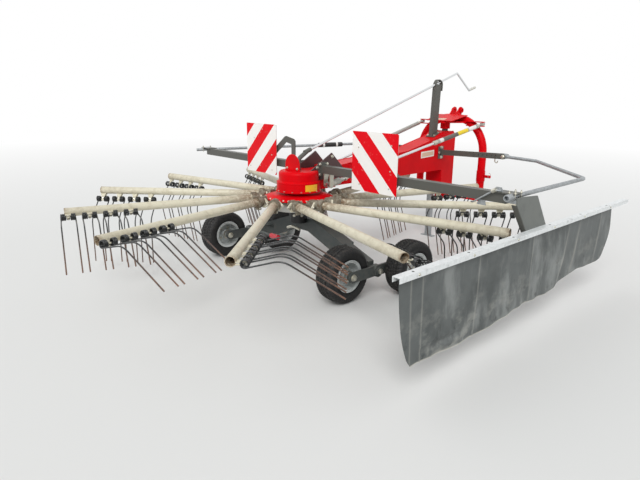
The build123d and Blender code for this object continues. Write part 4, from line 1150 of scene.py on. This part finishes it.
@dataclass
class Dampers:
    """Two dampers between the headstock and the housing, with coloured bands on the right-hand barrel."""

    front: Point = (0.360, 2.050, 1.168)
    rear: Point = (0.186, 0.150, 0.752)
    share: float = 0.36  # of the way to the rear eye that the barrel takes up
    # Bands behind the front eye: start, length and the number of the finish
    bands: tuple[tuple[float, float, int], ...] = (
        (0.115, 0.110, 0), (0.238, 0.145, 2), (0.383, 0.205, 4), (0.588, 0.052, 0),
    )
    # The pale bush before the rear eye, as a profile
    bush: tuple[tuple[float, float], ...] = (
        (0.0105, -0.150), (0.0165, -0.148), (0.0165, -0.118), (0.0255, -0.114), (0.0270, -0.108),
        (0.0270, -0.070), (0.0245, -0.067), (0.0245, -0.060), (0.0265, -0.057), (0.0265, -0.040),
        (0.0215, -0.034), (0.0105, -0.034),
    )

    def build(self) -> None:
        """Dress the nodes and add the bands, the seals and the rear clevises."""
        for side, way in (("left", -1), ("right", 1)):
            dress(BARREL_PAINT, f"damper_barrel_{side}")
            dress(CHROME, f"damper_rod_{side}")
            front = np.array(self.front) * (way, 1, 1)
            rear = np.array(self.rear) * (way, 1, 1)
            along = unit(rear - front)
            end = float(np.linalg.norm(rear - front)) * self.share
            barrel = Workpiece(f"damper_bands_{side}")
            if side == "right":
                for start, length, finish in self.bands:
                    ends = (start, start + length)
                    barrel.band((0.0180, 0.0196), ends, front, along, 28, finish, ease=0.001)
            seal = [(0.0180, -0.034), (0.0205, -0.030), (0.0205, 0.002), (0.017, 0.010), (0.0118, 0.012)]
            barrel.turn(seal, front + along * end, along, 28, 3, loop=True)
            collar = [(0.0180, 0.074), (0.0205, 0.075), (0.0205, 0.090), (0.0180, 0.092)]
            barrel.turn(collar, front, along, 28, 3, loop=True)
            finishes = [WHITE_BAND, BARREL_PAINT, YELLOW_BAND, ZINC_PLATE, DARK_BAND]
            barrel.finish(finishes, f"damper_barrel_{side}", "bright")
            clevis = Workpiece(f"damper_clevis_{side}")
            clevis.turn(list(self.bush), rear, along, 32, 1, loop=True)
            clevis.band((0.0105, 0.020), (-0.185, -0.165), rear, along, 6, 0)
            clevis.finish([ZINC_PLATE, PALE_BUSH], f"damper_rod_{side}", "bright", bevel=0.001)
        dress(ZINC_PLATE, "damper_ears")


@dataclass
class HeightCrank:
    """The crank that sets the rake's height, its post and its lower joint."""

    curl: tuple[Point, ...] = (
        (0, 1.729, 1.480), (0, 1.733, 1.558), (0, 1.775, 1.588), (0, 1.834, 1.560), (0, 1.832, 1.478),
    )
    curl_reach: float = 0.028
    slope: Point = (0, 0.922, 0.387)
    foot: Point = (0, 1.702, 1.0375)
    foot_bolts: tuple[tuple[float, float], ...] = ((1.722, 1.0542), (1.780, 1.0786))
    grip: tuple[Point, Point] = ((0, 2.341, 1.4915), (0, 2.440, 1.518))

    def build(self) -> None:
        """Dress the nodes and add the post's curled strap, its foot plate and bolts, and the grip."""
        dress(GREY_POWDER_COAT, "crank_post", "crank_joint")
        dress(CHROME, "crank")
        work = Workpiece("crank_fittings")
        work.strap(rounded(list(self.curl), self.curl_reach), RIGHT, 0.038, 0.007, 0)
        outline = [(-0.050, 0), (0.050, 0), (0.050, 0.104), (-0.050, 0.104)]
        work.plate(outline, self.foot, RIGHT, self.slope, 0.008, 0)
        _, ahead, up = self.slope
        for x in (-0.036, 0.036):
            for y, z in self.foot_bolts:
                work.bolt((x, y, z), (0, -up, ahead), 0.012, 1)
        work.finish([GREY_POWDER_COAT, ZINC_PLATE], "frame", "anthracite")
        handle = Workpiece("crank_grip")
        start, end = np.array(self.grip)
        profile = [(0.0120, 0.0), (0.0136, 0.004), (0.0126, 0.02), (0.0130, 0.05)]
        profile += [(0.0126, 0.085), (0.0136, 0.099), (0.0118, 0.104)]
        handle.turn(profile, start, end - start, 20, 0)
        handle.finish([PALE_BUSH], "frame", "galvanised")


@dataclass
class Guards:
    """Root beams, folding outer beams, guard tubes and front bars."""

    hinge: float = 0.800
    hinge_height: float = 0.915
    beam: float = 0.165
    bar: float = 1.735
    top: float = 0.897
    bow_radius: float = 0.0180
    lug: float = 0.006  # thickness of the lugs that the tubes hang from
    # Each tube's straight end, from front to rear, and the locking rod's straight part
    right_tube: tuple[Point, Point] = ((1.715, 1.180, 0.883), (1.735, 0.090, 0.883))
    left_tube: tuple[Point, Point] = ((-0.870, 1.735, 0.913), (-1.689, 0.070, 0.880))
    rod: tuple[Point, Point] = ((1.494, 0.118, 0.822), (1.625, 0.118, 0.908))

    def build(self) -> None:
        """Dress the nodes and add the hinge bolts, flanges and chain hooks, then both clamps."""
        dress(GREY_POWDER_COAT, "root_beams", "front_bars", "guard_beam_left", "guard_beam_right")
        dress(GALVANISED_STEEL, "guard_tube_left", "guard_tube_right")
        fixed = Workpiece("guard_hinge_bolts")
        flange = [(-0.052, -0.085), (0.052, -0.085), (0.052, 0.024), (-0.052, 0.024)]
        for side in (-1, 1):
            for middle, spread in ((self.beam, 0.0395), (self.bar, 0.0385)):
                for way in (-1, 1):
                    place = (side * self.hinge, middle + way * spread, self.hinge_height)
                    fixed.bolt(place, (0, way, 0), 0.016, 0)
            # Inner flange with four bolts where the root beam meets its side plate
            for y in (self.beam - 0.040, self.beam + 0.040):
                for z in (self.top - 0.070, self.top + 0.010):
                    fixed.bolt((side * 0.112, y, z), (side, 0, 0), 0.010, 0)
            fixed.plate(flange, (side * 0.102, self.beam, self.top), (0, side, 0), UP, 0.010, 1)
            # Chain hook under the front bar's outer end
            line = ((0.70, 0.888), (0.70, 0.855), (0.725, 0.850), (0.728, 0.870))
            fixed.sweep(rounded([(side * x, self.bar + 0.010, z) for x, z in line], 0.02), 0.005, 8, 0)
        fixed.finish([ZINC_PLATE, GREY_POWDER_COAT], "frame", "anthracite", bevel=0.0008)
        self.right_clamp()
        self.left_clamp()

    def bow(self, work: Workpiece, centre: np.ndarray, along: np.ndarray) -> None:
        """Bend a U-bolt under a tube, with its legs and nuts above the lug that the tube hangs from.

        Args:
            work: the piece that gets it.
            centre: the point on the tube's axis.
            along: the tube's direction.
        """
        side = unit(np.cross(along, UP))
        turns = np.linspace(0, math.pi, 15)
        arc = [centre + self.bow_radius * (math.cos(a) * side - math.sin(a) * UP) for a in turns]
        legs = UP * 0.036
        work.sweep(np.array([arc[0] + legs, *arc, arc[-1] + legs]), 0.0038, 8, 0)
        above = UP * (self.top + self.lug - centre[2])
        for way in (-1, 1):
            work.bolt(centre + side * self.bow_radius * way + above, UP, 0.008, 0)

    def right_clamp(self) -> None:
        """Add the right-hand tube's U-bolts, its end sleeve and the locking rod."""
        work = Workpiece("guard_clamp_right")
        start, end = np.array(self.right_tube)
        along = unit(end - start)
        for y in (0.130, 0.203):
            self.bow(work, end + along * ((y - end[1]) / along[1]), along)
        stub = [(0.0130, -0.045), (0.0190, -0.045), (0.0205, -0.040)]
        stub += [(0.0205, 0.022), (0.0190, 0.026), (0.0130, 0.026)]
        work.turn(stub, end, along, 28, 1, loop=True)
        # Locking rod along the beam, with its guide and two lugs
        low, high = np.array(self.rod)
        rod = [low + (-0.02, 0.012, -0.004), low, high, high + (0.045, 0.006, 0.004)]
        work.sweep(rounded(rod, 0.02), 0.0055, 10, 1)
        work.band((0.0055, 0.0125), (-0.014, 0.014), high, high - low, 16, 0)
        upper = [(-0.010, 0), (0.055, 0), (0.040, 0.034), (0.004, 0.034)]
        work.plate(upper, (high[0], 0.1345, self.top - 0.001), RIGHT, UP, self.lug, 1)
        lower = [(0, 0), (0.060, 0), (0.052, 0.030), (0.006, 0.030)]
        work.plate(lower, (low[0] + 0.02, 0.1335, self.top - 0.088), RIGHT, UP, 0.005, 1)
        work.finish([ZINC_PLATE, GALVANISED_STEEL], "guard_right", "galvanised", bevel=0.0006)

    def left_clamp(self) -> None:
        """Add the left-hand tube's U-bolts and the black sleeve with its two white rings."""
        work = Workpiece("guard_clamp_left")
        front, rear = np.array(self.left_tube)
        along = unit(rear - front)
        length = float(np.linalg.norm(rear - front))
        for distance in (length - 0.068, length - 0.140):
            self.bow(work, front + along * distance, along)
        lug = [(0, 0), (0.10, 0), (0.10, 0.088), (0, 0.088)]
        work.plate(lug, (-1.685, 0.121, self.top + 0.0005), RIGHT, AHEAD, self.lug, 3)
        sleeve = [(0.0130, 0.285), (0.0235, 0.292), (0.0245, 0.31)]
        sleeve += [(0.0245, 0.545), (0.0235, 0.563), (0.0130, 0.570)]
        work.turn(sleeve, front, along, 28, 1, loop=True)
        for distance in (0.355, 0.503):
            work.band((0.0235, 0.0268), (-0.011, 0.011), front + along * distance, along, 28, 2, ease=0.002)
        work.finish([ZINC_PLATE, BLACK_POLYMER_AND_HOLE_SHADE, WHITE_BAND, GALVANISED_STEEL], "guard_left", "galvanised")


@dataclass
class Boards:
    """Two striped warning boards on their brackets."""

    centres: tuple[float, float] = (-0.619, 0.701)
    height: float = 0.978
    size: float = 0.423
    face: float = 0.0965
    edge_line: float = 0.1022
    bar: float = 0.130
    # Bolts in the left and the right board, from its centre
    holes: tuple[tuple[tuple[float, float], ...], ...] = (
        ((-0.165, -0.165), (0.15, -0.175), (-0.10, 0.085), (0.15, -0.045), (-0.02, -0.15), (0.02, 0.165)),
        ((0.155, 0.13), (0.15, -0.045), (-0.145, -0.01), (-0.135, -0.165), (0.145, -0.165), (-0.15, 0.10)),
    )
    # Arched flat bar beside the left-hand board, down to the root beam, as pairs of x and height
    arch: tuple[tuple[float, float], ...] = (
        (-0.470, 0.940), (-0.450, 0.940), (-0.306, 1.052), (-0.236, 1.038), (-0.236, 0.890),
        (-0.190, 0.890), (-0.190, 1.066), (-0.206, 1.083), (-0.306, 1.102), (-0.322, 1.098),
        (-0.470, 0.984),
    )

    def build(self) -> None:
        """Dress the nodes and add the boards' bolts, their folded edges and the left-hand arched bracket."""
        dress(BOARD_SHEETING, "warning_boards")
        dress(GREY_POWDER_COAT, "board_brackets")
        work = Workpiece("board_fittings")
        screw = [(0.0058, -0.001), (0.0058, 0.0015), (0.0035, 0.003)]
        edge = self.size / 2 - 0.004
        corners = [(-edge, -edge), (edge, -edge), (edge, edge), (-edge, edge)]
        for centre, spots in zip(self.centres, self.holes):
            for u, v in spots:
                work.turn(screw, (centre + u, self.face, self.height + v), (0, -1, 0), 12, 0)
            rim = [(centre + a, self.edge_line, self.height + b) for a, b in corners]
            for ends in zip(rim, rim[1:] + rim[:1]):
                work.sweep(np.array(ends), 0.0030, 6, 0)
        work.plate(list(self.arch), (0, self.bar, 0), RIGHT, UP, 0.008, 1)
        work.finish([ZINC_PLATE, GREY_POWDER_COAT], "frame", "board")


@dataclass
class SwathCurtain:
    """The swath curtain: a hung cloth under its rail, with the rail's fittings."""

    place: float = 1.792
    rail_rear: float = -0.956
    rail_front: float = 1.850
    rail_top: float = 0.665
    cloth: float = 0.0024
    columns: int = 400
    rows: int = 44
    # The cut's edges as pairs of y and height: down the rear, along the hem, and down the front
    rear_edge: tuple[tuple[float, float], ...] = (
        (-0.936, 0.655), (-0.934, 0.601), (-0.925, 0.470), (-0.910, 0.347), (-0.871, 0.230), (-0.837, 0.183),
    )
    hem_edge: tuple[tuple[float, float], ...] = (
        (-0.837, 0.183), (-0.743, 0.179), (-0.574, 0.167), (-0.436, 0.155), (-0.290, 0.154), (-0.085, 0.160),
        (0.136, 0.194), (0.385, 0.202), (0.666, 0.192), (0.882, 0.233), (1.038, 0.256), (1.211, 0.252),
        (1.398, 0.240),
    )
    front_edge: tuple[tuple[float, float], ...] = (
        (1.571, 0.655), (1.574, 0.640), (1.609, 0.453), (1.553, 0.344), (1.486, 0.261), (1.398, 0.240),
    )
    # Slow folds: height, radians for each metre along, radians from top to foot, start, and 1 where they
    # grow on the way down
    folds: tuple[tuple[float, ...], ...] = (
        (0.0065, 5.1, 1.6, 0.0, 0), (0.0045, 11.7, 1.9, 0.8, 0),
        (0.0030, 23.0, 0.0, 2.2, 1), (0.0018, 41.0, -3.0, 0.0, 1),
    )
    # Drawn creases that run down and forwards from the rail near the front end: distance from the rear
    # end, lean, width of the crease and width of its whitened line
    drawn: tuple[tuple[float, ...], ...] = (
        (1.79, -0.12, 0.026, 0.010), (1.96, -0.10, 0.034, 0.016), (2.33, -0.07, 0.026, 0.010),
    )
    # Sharp upright creases where it was folded flat
    pressed: tuple[float, ...] = (0.09, 0.18, 0.68, 1.28)

    @staticmethod
    def trace(edge: tuple[tuple[float, float], ...], count: int) -> np.ndarray:
        """Space points evenly along an edge, with its corners softened.

        Args:
            edge: pairs of y and height.
            count: how many points.

        Returns:
            The points, one row each.
        """
        fine = rounded([(y, z, 0.0) for y, z in edge], 0.06, 6)[:, :2]
        reach = np.concatenate([[0.0], np.linalg.norm(np.diff(fine, axis=0), axis=1).cumsum()])
        even = np.linspace(0, reach[-1], count)
        return np.stack([np.interp(even, reach, fine[:, 0]), np.interp(even, reach, fine[:, 1])], axis=1)

    def cut(self) -> np.ndarray:
        """Fill the cut's outline with an even net of points.

        Returns:
            For each column and row, y and height.
        """
        rear, front = self.trace(self.rear_edge, self.rows), self.trace(self.front_edge, self.rows)
        hem = self.trace(self.hem_edge, self.columns)
        s, t = np.linspace(0, 1, self.columns)[:, None, None], np.linspace(0, 1, self.rows)[None, :, None]
        head = (1 - s) * rear[0] + s * front[0]
        sides = (1 - s) * rear[None] + s * front[None]
        lengthways = (1 - t) * head + t * hem[:, None]
        corners = (1 - t) * head + t * ((1 - s) * rear[-1] + s * front[-1])
        return sides + lengthways - corners

    def bulge(self, along: np.ndarray, down: np.ndarray) -> np.ndarray:
        """Work out how far the cloth stands out of its plane.

        Args:
            along: the distance from the rear end, in metres.
            down: the share of the way down, from 0 to 1.

        Returns:
            Metres to the right.
        """
        folds = sum(
            height * np.sin(rate * along + twist * down + start) * down**growth
            for height, rate, twist, start, growth in self.folds
        )
        corner = 0.012 * np.exp(-(along / 0.22) ** 2) * down**2
        creases = np.zeros_like(down)
        for start, lean, width, _ in self.drawn:
            creases += 0.008 * np.exp(-(((along - start - lean * down) / width) ** 2)) * np.sin(np.pi * down)
        for start in self.pressed:
            creases += 0.0035 * np.exp(-(((along - start) / 0.012) ** 2)) * np.sqrt(down)
        # Buckles above the dragged rear foot, and slanting wrinkles along the middle
        foot = np.exp(-(((along - 0.42) / 0.20) ** 2) - ((down - 0.86) / 0.09) ** 2)
        creases += 0.010 * foot * np.sin(40 * down + 7 * along)
        creases += 0.0035 * np.exp(-(((along - 1.25) / 0.55) ** 2)) * np.sin(36 * along - 9 * down) * down
        return down**1.4 * folds + corner + creases

    def worn(self, along: np.ndarray, down: np.ndarray) -> np.ndarray:
        """Mark the pale hem and the creases that road dust has whitened.

        Args:
            along: the distance from the rear end, in metres.
            down: the share of the way down, from 0 to 1.

        Returns:
            From 0 to 1.
        """
        marks = np.where(down > 0.985, 1.0, 0.0)
        for start in self.pressed:
            marks = np.maximum(marks, 0.24 * np.exp(-(((along - start) / 0.005) ** 2)))
        for start, lean, _, width in self.drawn:
            line = np.exp(-(((along - start - lean * down) / width) ** 2))
            marks = np.maximum(marks, 0.30 * line * np.sin(np.pi * down))
        return marks

    def build(self) -> None:
        """Hang the cloth and dress the rail, the bracket and the arm."""
        dress(RAIL_ZINC, "curtain_rail")
        dress(GALVANISED_STEEL, "curtain_arm")
        dress(BRACKET_COAT, "curtain_bracket")
        net = self.cut()
        along = net[..., 0] - self.rear_edge[0][0]
        down = np.broadcast_to(np.linspace(0, 1, self.rows), along.shape)
        middle = np.stack([self.place + self.bulge(along, down), net[..., 0], net[..., 1]], axis=-1)
        skins = [middle + np.array([shift, 0, 0]) for shift in (-self.cloth / 2, self.cloth / 2)]
        work = Workpiece("curtain_cloth")
        count = self.columns * self.rows
        index = np.arange(count).reshape(self.columns, self.rows)
        faces = []
        a, b, c, d = index[:-1, :-1], index[1:, :-1], index[1:, 1:], index[:-1, 1:]
        for quad in zip(a.ravel(), b.ravel(), c.ravel(), d.ravel()):
            faces.append(tuple(int(i) for i in quad))
            faces.append(tuple(int(i) + count for i in quad[::-1]))
        edge = [*index[:, 0], *index[-1, 1:], *index[::-1, -1][1:], *index[0, ::-1][1:-1]]
        for i, j in zip(edge, [*edge[1:], edge[0]]):
            faces.append((int(i), int(i) + count, int(j) + count, int(j)))
        marks = np.concatenate([self.worn(along, down).ravel()] * 2)
        work.grow(np.concatenate([s.reshape(-1, 3) for s in skins]), faces, 0, marks)
        cloth = work.finish([COATED_CLOTH], "curtain", "tarpaulin", sharp=60.0)
        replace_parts(cloth, "curtain_sheet")
        a, b, c, d = net[:-1, :-1], net[1:, :-1], net[1:, 1:], net[:-1, 1:]
        self.fittings()

    def fittings(self) -> None:
        """Add the rail's bolts, a black disc in each of its holes as painted shade, and the bracket's bolts
        and folded edge.
        """
        work = Workpiece("curtain_fittings")
        # Each hole is a thin black disc on the rail's top: painted shade, where a real hole is dark inside
        hole = [(0.0070, -0.001), (0.0070, 0.0006), (0.004, 0.0012)]
        for y in np.arange(self.rail_rear + 0.12, self.rail_front, 0.46):
            work.turn(hole, (self.place, y, self.rail_top), UP, 14, 1)
            work.bolt((self.place + 0.0228, y + 0.02, self.rail_top - 0.014), RIGHT, 0.006, 0)
        for y, z in ((0.160, 0.858), (0.290, 0.850), (0.335, 0.672), (0.505, 0.672)):
            work.bolt((self.place - 0.031, y, z), (-1, 0, 0), 0.010, 0)
        # Folded edge down the bracket's rear side
        fold = [(-0.034, 0), (0, 0), (0, 0.258), (-0.034, 0.258)]
        work.plate(fold, (self.place - 0.024, 0.300, 0.638), RIGHT, (0, -0.165, 0.200), 0.005, 2)
        work.finish([ZINC_PLATE, BLACK_POLYMER_AND_HOLE_SHADE, GREY_POWDER_COAT], "curtain", "anthracite", bevel=0.0006)


@dataclass
class Wheel:
    """One wheel: a treaded tyre on a pressed rim."""

    width: float = 0.165
    rim: float = 0.104
    lugs: int = 48
    groove: float = 0.0055
    shoulder: float = 0.080  # above the rim, where the lugs begin
    nuts: int = 4
    nut_circle: float = 0.058
    # Half of the tyre's section, from the rim out to the tread's middle: sideways, above the rim, and wear
    section: tuple[Point, ...] = (
        (0.0640, 0.0010, 0.0), (0.0640, 0.0140, 0.0), (0.0700, 0.0220, 0.0), (0.0785, 0.0400, 0.2),
        (0.0822, 0.0550, 0.3), (0.0800, 0.0720, 0.4), (0.0735, 0.0860, 0.7), (0.0660, 0.0930, 1.0),
        (0.0560, 0.0965, 1.0), (0.0440, 0.0985, 1.0), (0.0400, 0.0915, 1.0), (0.0350, 0.0915, 1.0),
        (0.0310, 0.0995, 1.0), (0.0150, 0.1005, 1.0), (0.0110, 0.0935, 1.0), (0.0060, 0.0935, 1.0),
        (0.0020, 0.1010, 1.0),
    )

    def tyre(self, name: str, centre: np.ndarray) -> bpy.types.Object:
        """Mould a tyre: round shoulders, four grooves and staggered lugs across the tread.

        Args:
            name: the wheel's name.
            centre: the wheel's centre.

        Returns:
            The tyre.
        """
        work = Workpiece(f"tread_{name}")
        full = [(-x, above, wear) for x, above, wear in self.section] + [*self.section[::-1]]
        steps = np.arange(self.lugs * 4)
        angles = 2 * math.pi * steps / len(steps)
        rings = []
        for x, above, _ in full:
            stagger = round(abs(x) / (self.width / 2) * 3) + (2 if x < 0 else 0)
            cut = np.where((above > self.shoulder) & ((steps + stagger) % 4 == 0), self.groove, 0.0)
            size = self.rim + above - cut
            ring = [np.full(len(steps), x), size * np.cos(angles), size * np.sin(angles)]
            rings.append(np.stack(ring, axis=1))
        work.rings(np.array(rings) + centre, 0, [wear for *_, wear in full], True)
        # Raised rings on both side walls
        for side in (-1, 1):
            for above, x in ((0.026, 0.0735), (0.066, 0.0812)):
                foot, crest = x - 0.003, x + 0.0012
                ring = [(0.002, foot), (0.0012, crest), (-0.0012, crest), (-0.002, foot)]
                ring = [(self.rim + above + out, along) for out, along in ring]
                work.turn(ring, centre, (side, 0, 0), 72, 0, loop=True)
        return work.finish([TYRE_RUBBER], f"wheel_{name}", "tyre", sharp=32.0)

    def hub(self, name: str, centre: np.ndarray) -> None:
        """Add the pressed disc's swages, the wheel nuts and the hub's caps.

        Args:
            name: the wheel's name.
            centre: the wheel's centre.
        """
        work = Workpiece(f"rim_fittings_{name}")
        swage = [(0.0870, 0.004), (0.083, 0.010), (0.078, 0.010), (0.0745, 0.004)]
        edge = [(0.1045, 0.066), (0.1180, 0.071), (0.1190, 0.0745), (0.1150, 0.0755), (0.1045, 0.0700)]
        cap = [(0.0385, 0.054), (0.0415, 0.056), (0.0415, 0.0625), (0.030, 0.0635)]
        for side in (-1, 1):
            facing = np.array([side, 0.0, 0.0])
            for profile, sides, finish in ((swage, 48, 0), (edge, 64, 0), (cap, 32, 1)):
                work.turn(profile, centre, facing, sides, finish, loop=True)
            for number in range(self.nuts):
                angle = 2 * math.pi * (number + 0.5) / self.nuts
                spoke = np.array([0, math.cos(angle), math.sin(angle)])
                work.bolt(centre + facing * 0.0055 + spoke * self.nut_circle, facing, 0.012, 1)
        work.finish([RIM_ENAMEL, ZINC_PLATE], f"wheel_{name}", "rim")


@dataclass
class Chassis:
    """The axle, its rockers, the four wheels, the lever and the parking stand."""

    track: float = 0.770
    axle: float = 0.090
    offset: float = 0.103
    base: float = 0.250
    hub_height: float = 0.205
    pivot_end: float = 0.8035
    clamp_height: float = 0.492
    lever_grip: tuple[Point, Point] = ((0.042, -0.315, 0.3923), (0.1535, -0.3305, 0.4002))
    pipe: tuple[Point, ...] = ((-0.05, -0.075, 0.40), (0.02, -0.085, 0.425), (0.10, -0.075, 0.41))

    def build(self) -> None:
        """Dress the nodes and add wheels, nuts, the column's clamp ring and the lever's grip."""
        dress(CHASSIS_POWDER_COAT, "axle_beam", "rotor_post", "rocker_left", "rocker_right", "lever")
        dress(GALVANISED_STEEL, "stand_leg")
        dress(GREY_POWDER_COAT, "stand_socket")
        wheel = Wheel()
        seat = [(0.026, 0.006), (0.030, 0.009), (0.030, 0.030), (0.024, 0.034)]
        for side, centre in (("left", -self.track), ("right", self.track)):
            rocker = Workpiece(f"rocker_fittings_{side}")
            for end, way in (("rear", -1), ("front", 1)):
                name = f"{side}_{end}"
                hub = np.array([centre + way * self.offset, self.axle + way * self.base, self.hub_height])
                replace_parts(wheel.tyre(name, hub), f"tyre_{name}")
                dress(RIM_ENAMEL, f"rim_{name}")
                wheel.hub(name, hub)
                # Spindle's nut on the rocker's other face, and its seat on this one
                rocker.bolt((centre - way * 0.008, hub[1], hub[2]), (-way, 0, 0), 0.022, 0)
                rocker.turn(seat, (centre, hub[1], hub[2]), (way, 0, 0), 24, 1, loop=True)
            rocker.finish([ZINC_PLATE, CHASSIS_POWDER_COAT], f"rocker_{side}", "chassis")
        work = Workpiece("chassis_fittings")
        pivot = [(0.020, 0.0), (0.020, 0.014), (0.012, 0.018)]
        for side in (-1, 1):
            work.turn(pivot, (side * self.pivot_end, self.axle, self.hub_height), (side, 0, 0), 20, 0)
        # Column's clamp ring with its bolts, and the greasing pipe behind it
        clamp = [(0.0600, -0.048), (0.0660, -0.046), (0.0660, 0.0)]
        clamp += [(0.0740, 0.002), (0.0740, 0.030), (0.0600, 0.032)]
        work.turn(clamp, UP * self.clamp_height, UP, 40, 3, loop=True)
        for angle in (200, 290, 340):
            work.bolt(plan(0.073, 0, angle) + UP * (self.clamp_height + 0.016), plan(1, 0, angle), 0.010, 0)
        work.sweep(rounded(list(self.pipe), 0.03), 0.011, 10, 0)
        start, end = np.array(self.lever_grip)
        grip = [(0.0155, 0.0), (0.0200, 0.006), (0.0185, 0.03), (0.0198, 0.06)]
        grip += [(0.0185, 0.09), (0.0200, 0.108), (0.0150, 0.1128)]
        work.turn(grip, start, end - start, 24, 2)
        work.finish([ZINC_PLATE, CHASSIS_POWDER_COAT, RED_GRIP, BLACK_POLYMER_AND_HOLE_SHADE], "frame", "chassis")


@dataclass
class Studio:
    """The camera at the photograph's place, the pale floor and the soft lights."""

    place: Point = (3.204, -2.721, 1.45)
    heading: float = 47.3
    pitch: float = 15.43
    roll: float = 0.49
    focal: float = 533.0
    picture_width: float = 640.0
    sensor: float = 36.0
    floor_half: float = 60.0
    fade: tuple[float, float] = (3.0, 14.0)  # metres off where the floor starts to turn white, and is white
    sky: float = 0.62

    def camera(self) -> None:
        """Place the camera."""
        heading, pitch, roll = (math.radians(v) for v in (self.heading, self.pitch, self.roll))
        flat = np.array([-math.sin(heading), math.cos(heading), 0.0])
        forward = flat * math.cos(pitch) - UP * math.sin(pitch)
        level = np.array([math.cos(heading), math.sin(heading), 0.0])
        above = np.cross(level, forward)
        right = math.cos(roll) * level + math.sin(roll) * above
        top = -math.sin(roll) * level + math.cos(roll) * above
        lens = bpy.data.cameras.new("camera")
        lens.sensor_fit = "HORIZONTAL"
        lens.sensor_width = self.sensor
        lens.lens = self.focal / self.picture_width * self.sensor
        lens.clip_end = 200.0
        camera = bpy.data.objects.new("camera", lens)
        matrix = np.eye(4)
        matrix[:3, 0], matrix[:3, 1], matrix[:3, 2] = right, top, -forward
        matrix[:3, 3] = np.array(self.place) + AXIS
        camera.matrix_world = Matrix(matrix.tolist())
        bpy.context.scene.collection.objects.link(camera)
        bpy.context.scene.camera = camera

    def lamp(self, name: str, place: Point, spread: float, strength: float) -> None:
        """Set a broad, even light as far away as the sun.

        Args:
            name: the lamp's name.
            place: a point on the way to it.
            spread: how wide it looks, in degrees.
            strength: watts on a square metre that faces it.
        """
        light = bpy.data.lights.new(name, "SUN")
        light.angle = math.radians(spread)
        light.energy = strength
        lamp = bpy.data.objects.new(name, light)
        backward = unit(np.array(place))
        side, other = across(backward)
        matrix = np.eye(4)
        matrix[:3, 0], matrix[:3, 1], matrix[:3, 2] = side, -other, backward
        matrix[:3, 3] = np.array(place) + AXIS
        lamp.matrix_world = Matrix(matrix.tolist())
        bpy.context.scene.collection.objects.link(lamp)

    @staticmethod
    def seen(tree: bpy.types.NodeTree) -> bpy.types.NodeSocket:
        """Find the rays that see the white background: the camera's, and those that metal and glass send on.

        Args:
            tree: the node tree of the world or of a material.

        Returns:
            A socket that is 1 for those rays and 0 for others.
        """
        rays = add(tree, "ShaderNodeLightPath")
        seen = rays.outputs["Is Camera Ray"]
        for other in ("Is Glossy Ray", "Is Transmission Ray"):
            both = {0: seen, 1: rays.outputs[other]}
            seen = add(tree, "ShaderNodeMath", both, operation="MAXIMUM").outputs[0]
        return seen

    def floor(self) -> None:
        """Lay the pale floor, which turns white far from the machine, as a studio's sweep does."""
        material = Finish("studio_floor", "#dededc", 0.8, specular=0.2).material()
        tree = material.node_tree
        output = next(n for n in tree.nodes if n.type == "OUTPUT_MATERIAL")
        plain = output.inputs["Surface"].links[0].from_socket
        place = add(tree, "ShaderNodeNewGeometry").outputs["Position"]
        reach = add(
            tree, "ShaderNodeVectorMath", {0: place, 1: tuple(AXIS)}, operation="DISTANCE"
        ).outputs["Value"]
        near, far = self.fade
        faded = add(
            tree, "ShaderNodeMapRange", {"Value": reach, "From Min": near, "From Max": far}
        ).outputs[0]
        share = add(tree, "ShaderNodeMath", {0: faded, 1: self.seen(tree)}, operation="MULTIPLY").outputs[0]
        white = add(tree, "ShaderNodeEmission", {"Color": WHITE, "Strength": 1.0}).outputs[0]
        both = add(tree, "ShaderNodeMixShader", {0: share, 1: plain, 2: white}).outputs[0]
        tree.links.new(both, output.inputs["Surface"])
        half = self.floor_half
        mesh = bpy.data.meshes.new("studio_floor")
        corners = [(-half, -half, 0), (half, -half, 0), (half, half, 0), (-half, half, 0)]
        mesh.from_pydata(corners, [], [(0, 1, 2, 3)])
        mesh.materials.append(material)
        floor = bpy.data.objects.new("studio_floor", mesh)
        bpy.context.scene.collection.objects.link(floor)

    def build(self) -> None:
        """Set up the world, the floor, the lamps and the camera."""
        world = bpy.data.worlds.new("soft_studio")
        bpy.context.scene.world = world
        world.use_nodes = True
        tree = world.node_tree
        tree.nodes.clear()
        lit = add(tree, "ShaderNodeBackground", {"Color": linear("#f4f6f8"), "Strength": self.sky})
        white = add(tree, "ShaderNodeBackground", {"Color": WHITE, "Strength": 1.0})
        both = add(tree, "ShaderNodeMixShader", {0: self.seen(tree), 1: lit.outputs[0], 2: white.outputs[0]})
        add(tree, "ShaderNodeOutputWorld", {"Surface": both.outputs[0]})
        self.floor()
        self.lamp("key", (3.2, -4.2, 4.6), spread=35.0, strength=2.0)
        self.lamp("fill", (-4.0, -1.5, 4.0), spread=60.0, strength=0.35)
        self.camera()


def main() -> None:
    """Build the studio and every sub-assembly in order."""
    logging.basicConfig(level=logging.INFO, format="%(name)s %(message)s")
    bpy.context.scene.view_settings.view_transform = "Standard"
    Studio().build()
    arms = TineArms()
    assemblies = (
        arms, Hub(arms), Housing(), Boom(), Headstock(), Dampers(), HeightCrank(), Guards(), Boards(),
        SwathCurtain(), Chassis(),
    )
    for assembly in assemblies:
        LOG.info("building %s", type(assembly).__name__)
        assembly.build()


if __name__ == "__main__":
    main()
